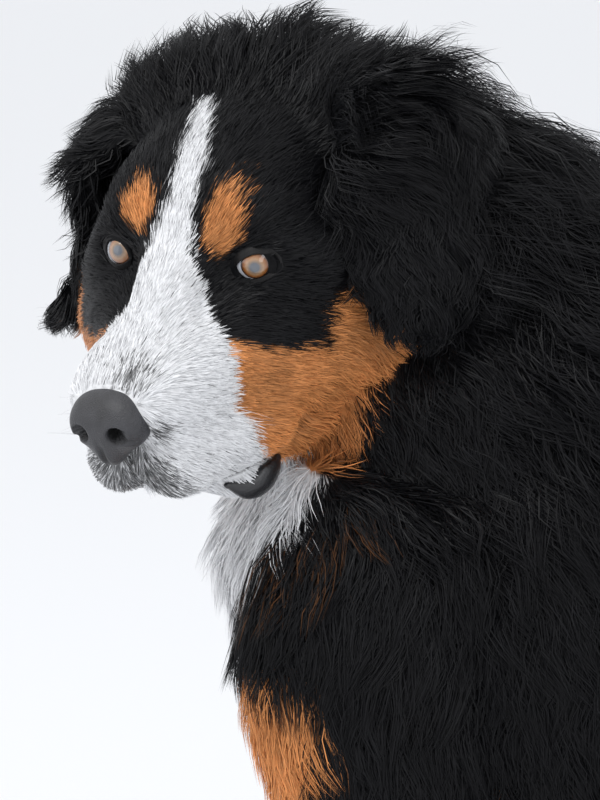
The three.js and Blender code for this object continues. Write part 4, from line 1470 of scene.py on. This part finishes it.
# %% Draw a ball onto the nose
bpy.ops.object.select_all(action="DESELECT")
bpy.ops.mesh.primitive_ico_sphere_add(subdivisions=6, radius=0.001)
nose = bpy.context.object
nose.name = nose.data.name = "nose_leather"
ways = ways_of(nose)
middle = np.array([97.0, 0, -50])
far = np.full(len(ways), 60.0)
for _ in range(70):
    far -= np.maximum(nose_form(middle + ways * far[:, None]), 0) * 0.7
for _ in range(10):
    far -= nose_form(middle + ways * far[:, None]) * 0.5
far = np.maximum(far, 4)
nose_points = middle + ways * far[:, None]
set_points(nose, out_of_head(nose_points))
# how deep each point lies in a nostril, stored for the painted shade inside the nostrils
hollow = nose.data.attributes.new("hollow", "FLOAT", "POINT")
hollow.data.foreach_set("value", ease(-blended(NOSE, 8, nose_points), 0.6, 4.5).astype(np.float32))
only(nose)
bpy.ops.object.shade_smooth()
nose.data.materials.append(nose_finish)
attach(nose, "root")
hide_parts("nose")
print("nose", len(nose.data.vertices))


# %% [markdown]
# ## Lower lips
# Near the corner of the mouth the lower lip turns out as a smooth, black, slightly moist fold that
# hangs under the white edge of the upper lip.

# %% Lower lips
folds = []
for side in SIDES.values():
    fold = Limb([
        [*out_of_head([13, 42.5 * side, -119]), 2, 3, 3], [*out_of_head([18, 42 * side, -122]), 4, 7, 7],
        [*out_of_head([27, 40.5 * side, -125]), 5, 10, 9],
        [*out_of_head([38, 37 * side, -124]), 4.5, 6, 8],
        [*out_of_head([50, 32 * side, -117]), 2, 2, 2],
    ], up=HEAD_AXES @ [0, 0.25 * side, 1], ends=(3, 3))
    folds.append(new_object("fold", *fold.mesh(40, 28)))
lips = joined("lower_lips", folds)
bpy.ops.object.shade_smooth()
lips.data.materials.append(lip_finish)
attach(lips, "root")

# %% [markdown]
# ## Claws
# The claws are curved cones of dark horn that leave the fur of the toes. Each is a short loft that
# narrows and bends down, and all of them are joined to one piece.


# %% Claws
def claw_mesh(centre, turn, toe):
    x, tip, fan = toe_places(toe)
    horn = Limb([
        [x + fan, tip - 2, 13, 4.6, 4.8, 4.4], [x + fan * 1.3, tip - 13, 12, 3.4, 3.8, 3.2],
        [x + fan * 1.6, tip - 19, 6.5, 1.4, 1.6, 1.2],
    ], up=[0, 0, 1], ends=(0, 1.5))
    points, faces = horn.mesh(10, 12)
    return turned(points, np.array(centre), turn), faces


horns = [new_object("claw", *claw_mesh(c, t, toe)) for c, t in PAWS for toe in TOES]
claws = joined("claws", horns)
bpy.ops.object.shade_smooth()
claws.data.materials.append(bare_skin("claw_horn", (0.05, 0.045, 0.04), 0.35, 500, 0.2, 0.3))
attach(claws, "root")

# %% [markdown]
# ## Whiskers
# Whiskers are long, stiff, pale hairs on the upper lips, set in loose rows. Each is a tube with
# three sides that starts on the skin, leans back and thins out to its tip.


# %% Whiskers
def whiskers():
    r = np.random.default_rng(8)
    points, faces = [], []
    for side in SIDES.values():
        for row in range(3):
            for k in range(4):
                root = np.array([82.0 - 9 * k, 40.0 * side, -58.0 - 8 * row])
                for _ in range(8):
                    root = root - slope(head_form, root[None])[0] * head_form(root[None])[0]
                out = slope(head_form, root[None])[0]
                way = unit(out * 0.7 + np.array([-0.5, 0.5 * side, -0.25]) + 0.15 * r.normal(size=3))
                reach = r.uniform(20, 36)
                base = len(points)
                t = np.linspace(0, 1, 7)
                bow = (reach * 0.22 * t ** 2)[:, None] * np.array([-0.6, 0, -0.7])
                spine = root + reach * t[:, None] * way + bow
                for i, spot in enumerate(spine):
                    thick = 0.2 * (1 - t[i]) + 0.04
                    for a in (0, 120, 240):
                        a = math.radians(a)
                        points.append(spot + thick * np.array([0.0, math.cos(a), math.sin(a)]))
                for i in range(6):
                    for j in range(3):
                        p, n = base + 3 * i + j, base + 3 * i + (j + 1) % 3
                        faces.append((p, n, n + 3, p + 3))
                faces += [(base + 2, base + 1, base), (base + 18, base + 19, base + 20)]
    return new_object("whiskers", out_of_head(points), faces)


whisker = whiskers()
only(whisker)
bpy.ops.object.shade_smooth()
whisker.data.materials.append(bare_skin("whisker_hair", (0.6, 0.6, 0.62), 0.4, 400, 0.1, 0.1))
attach(whisker, "root")
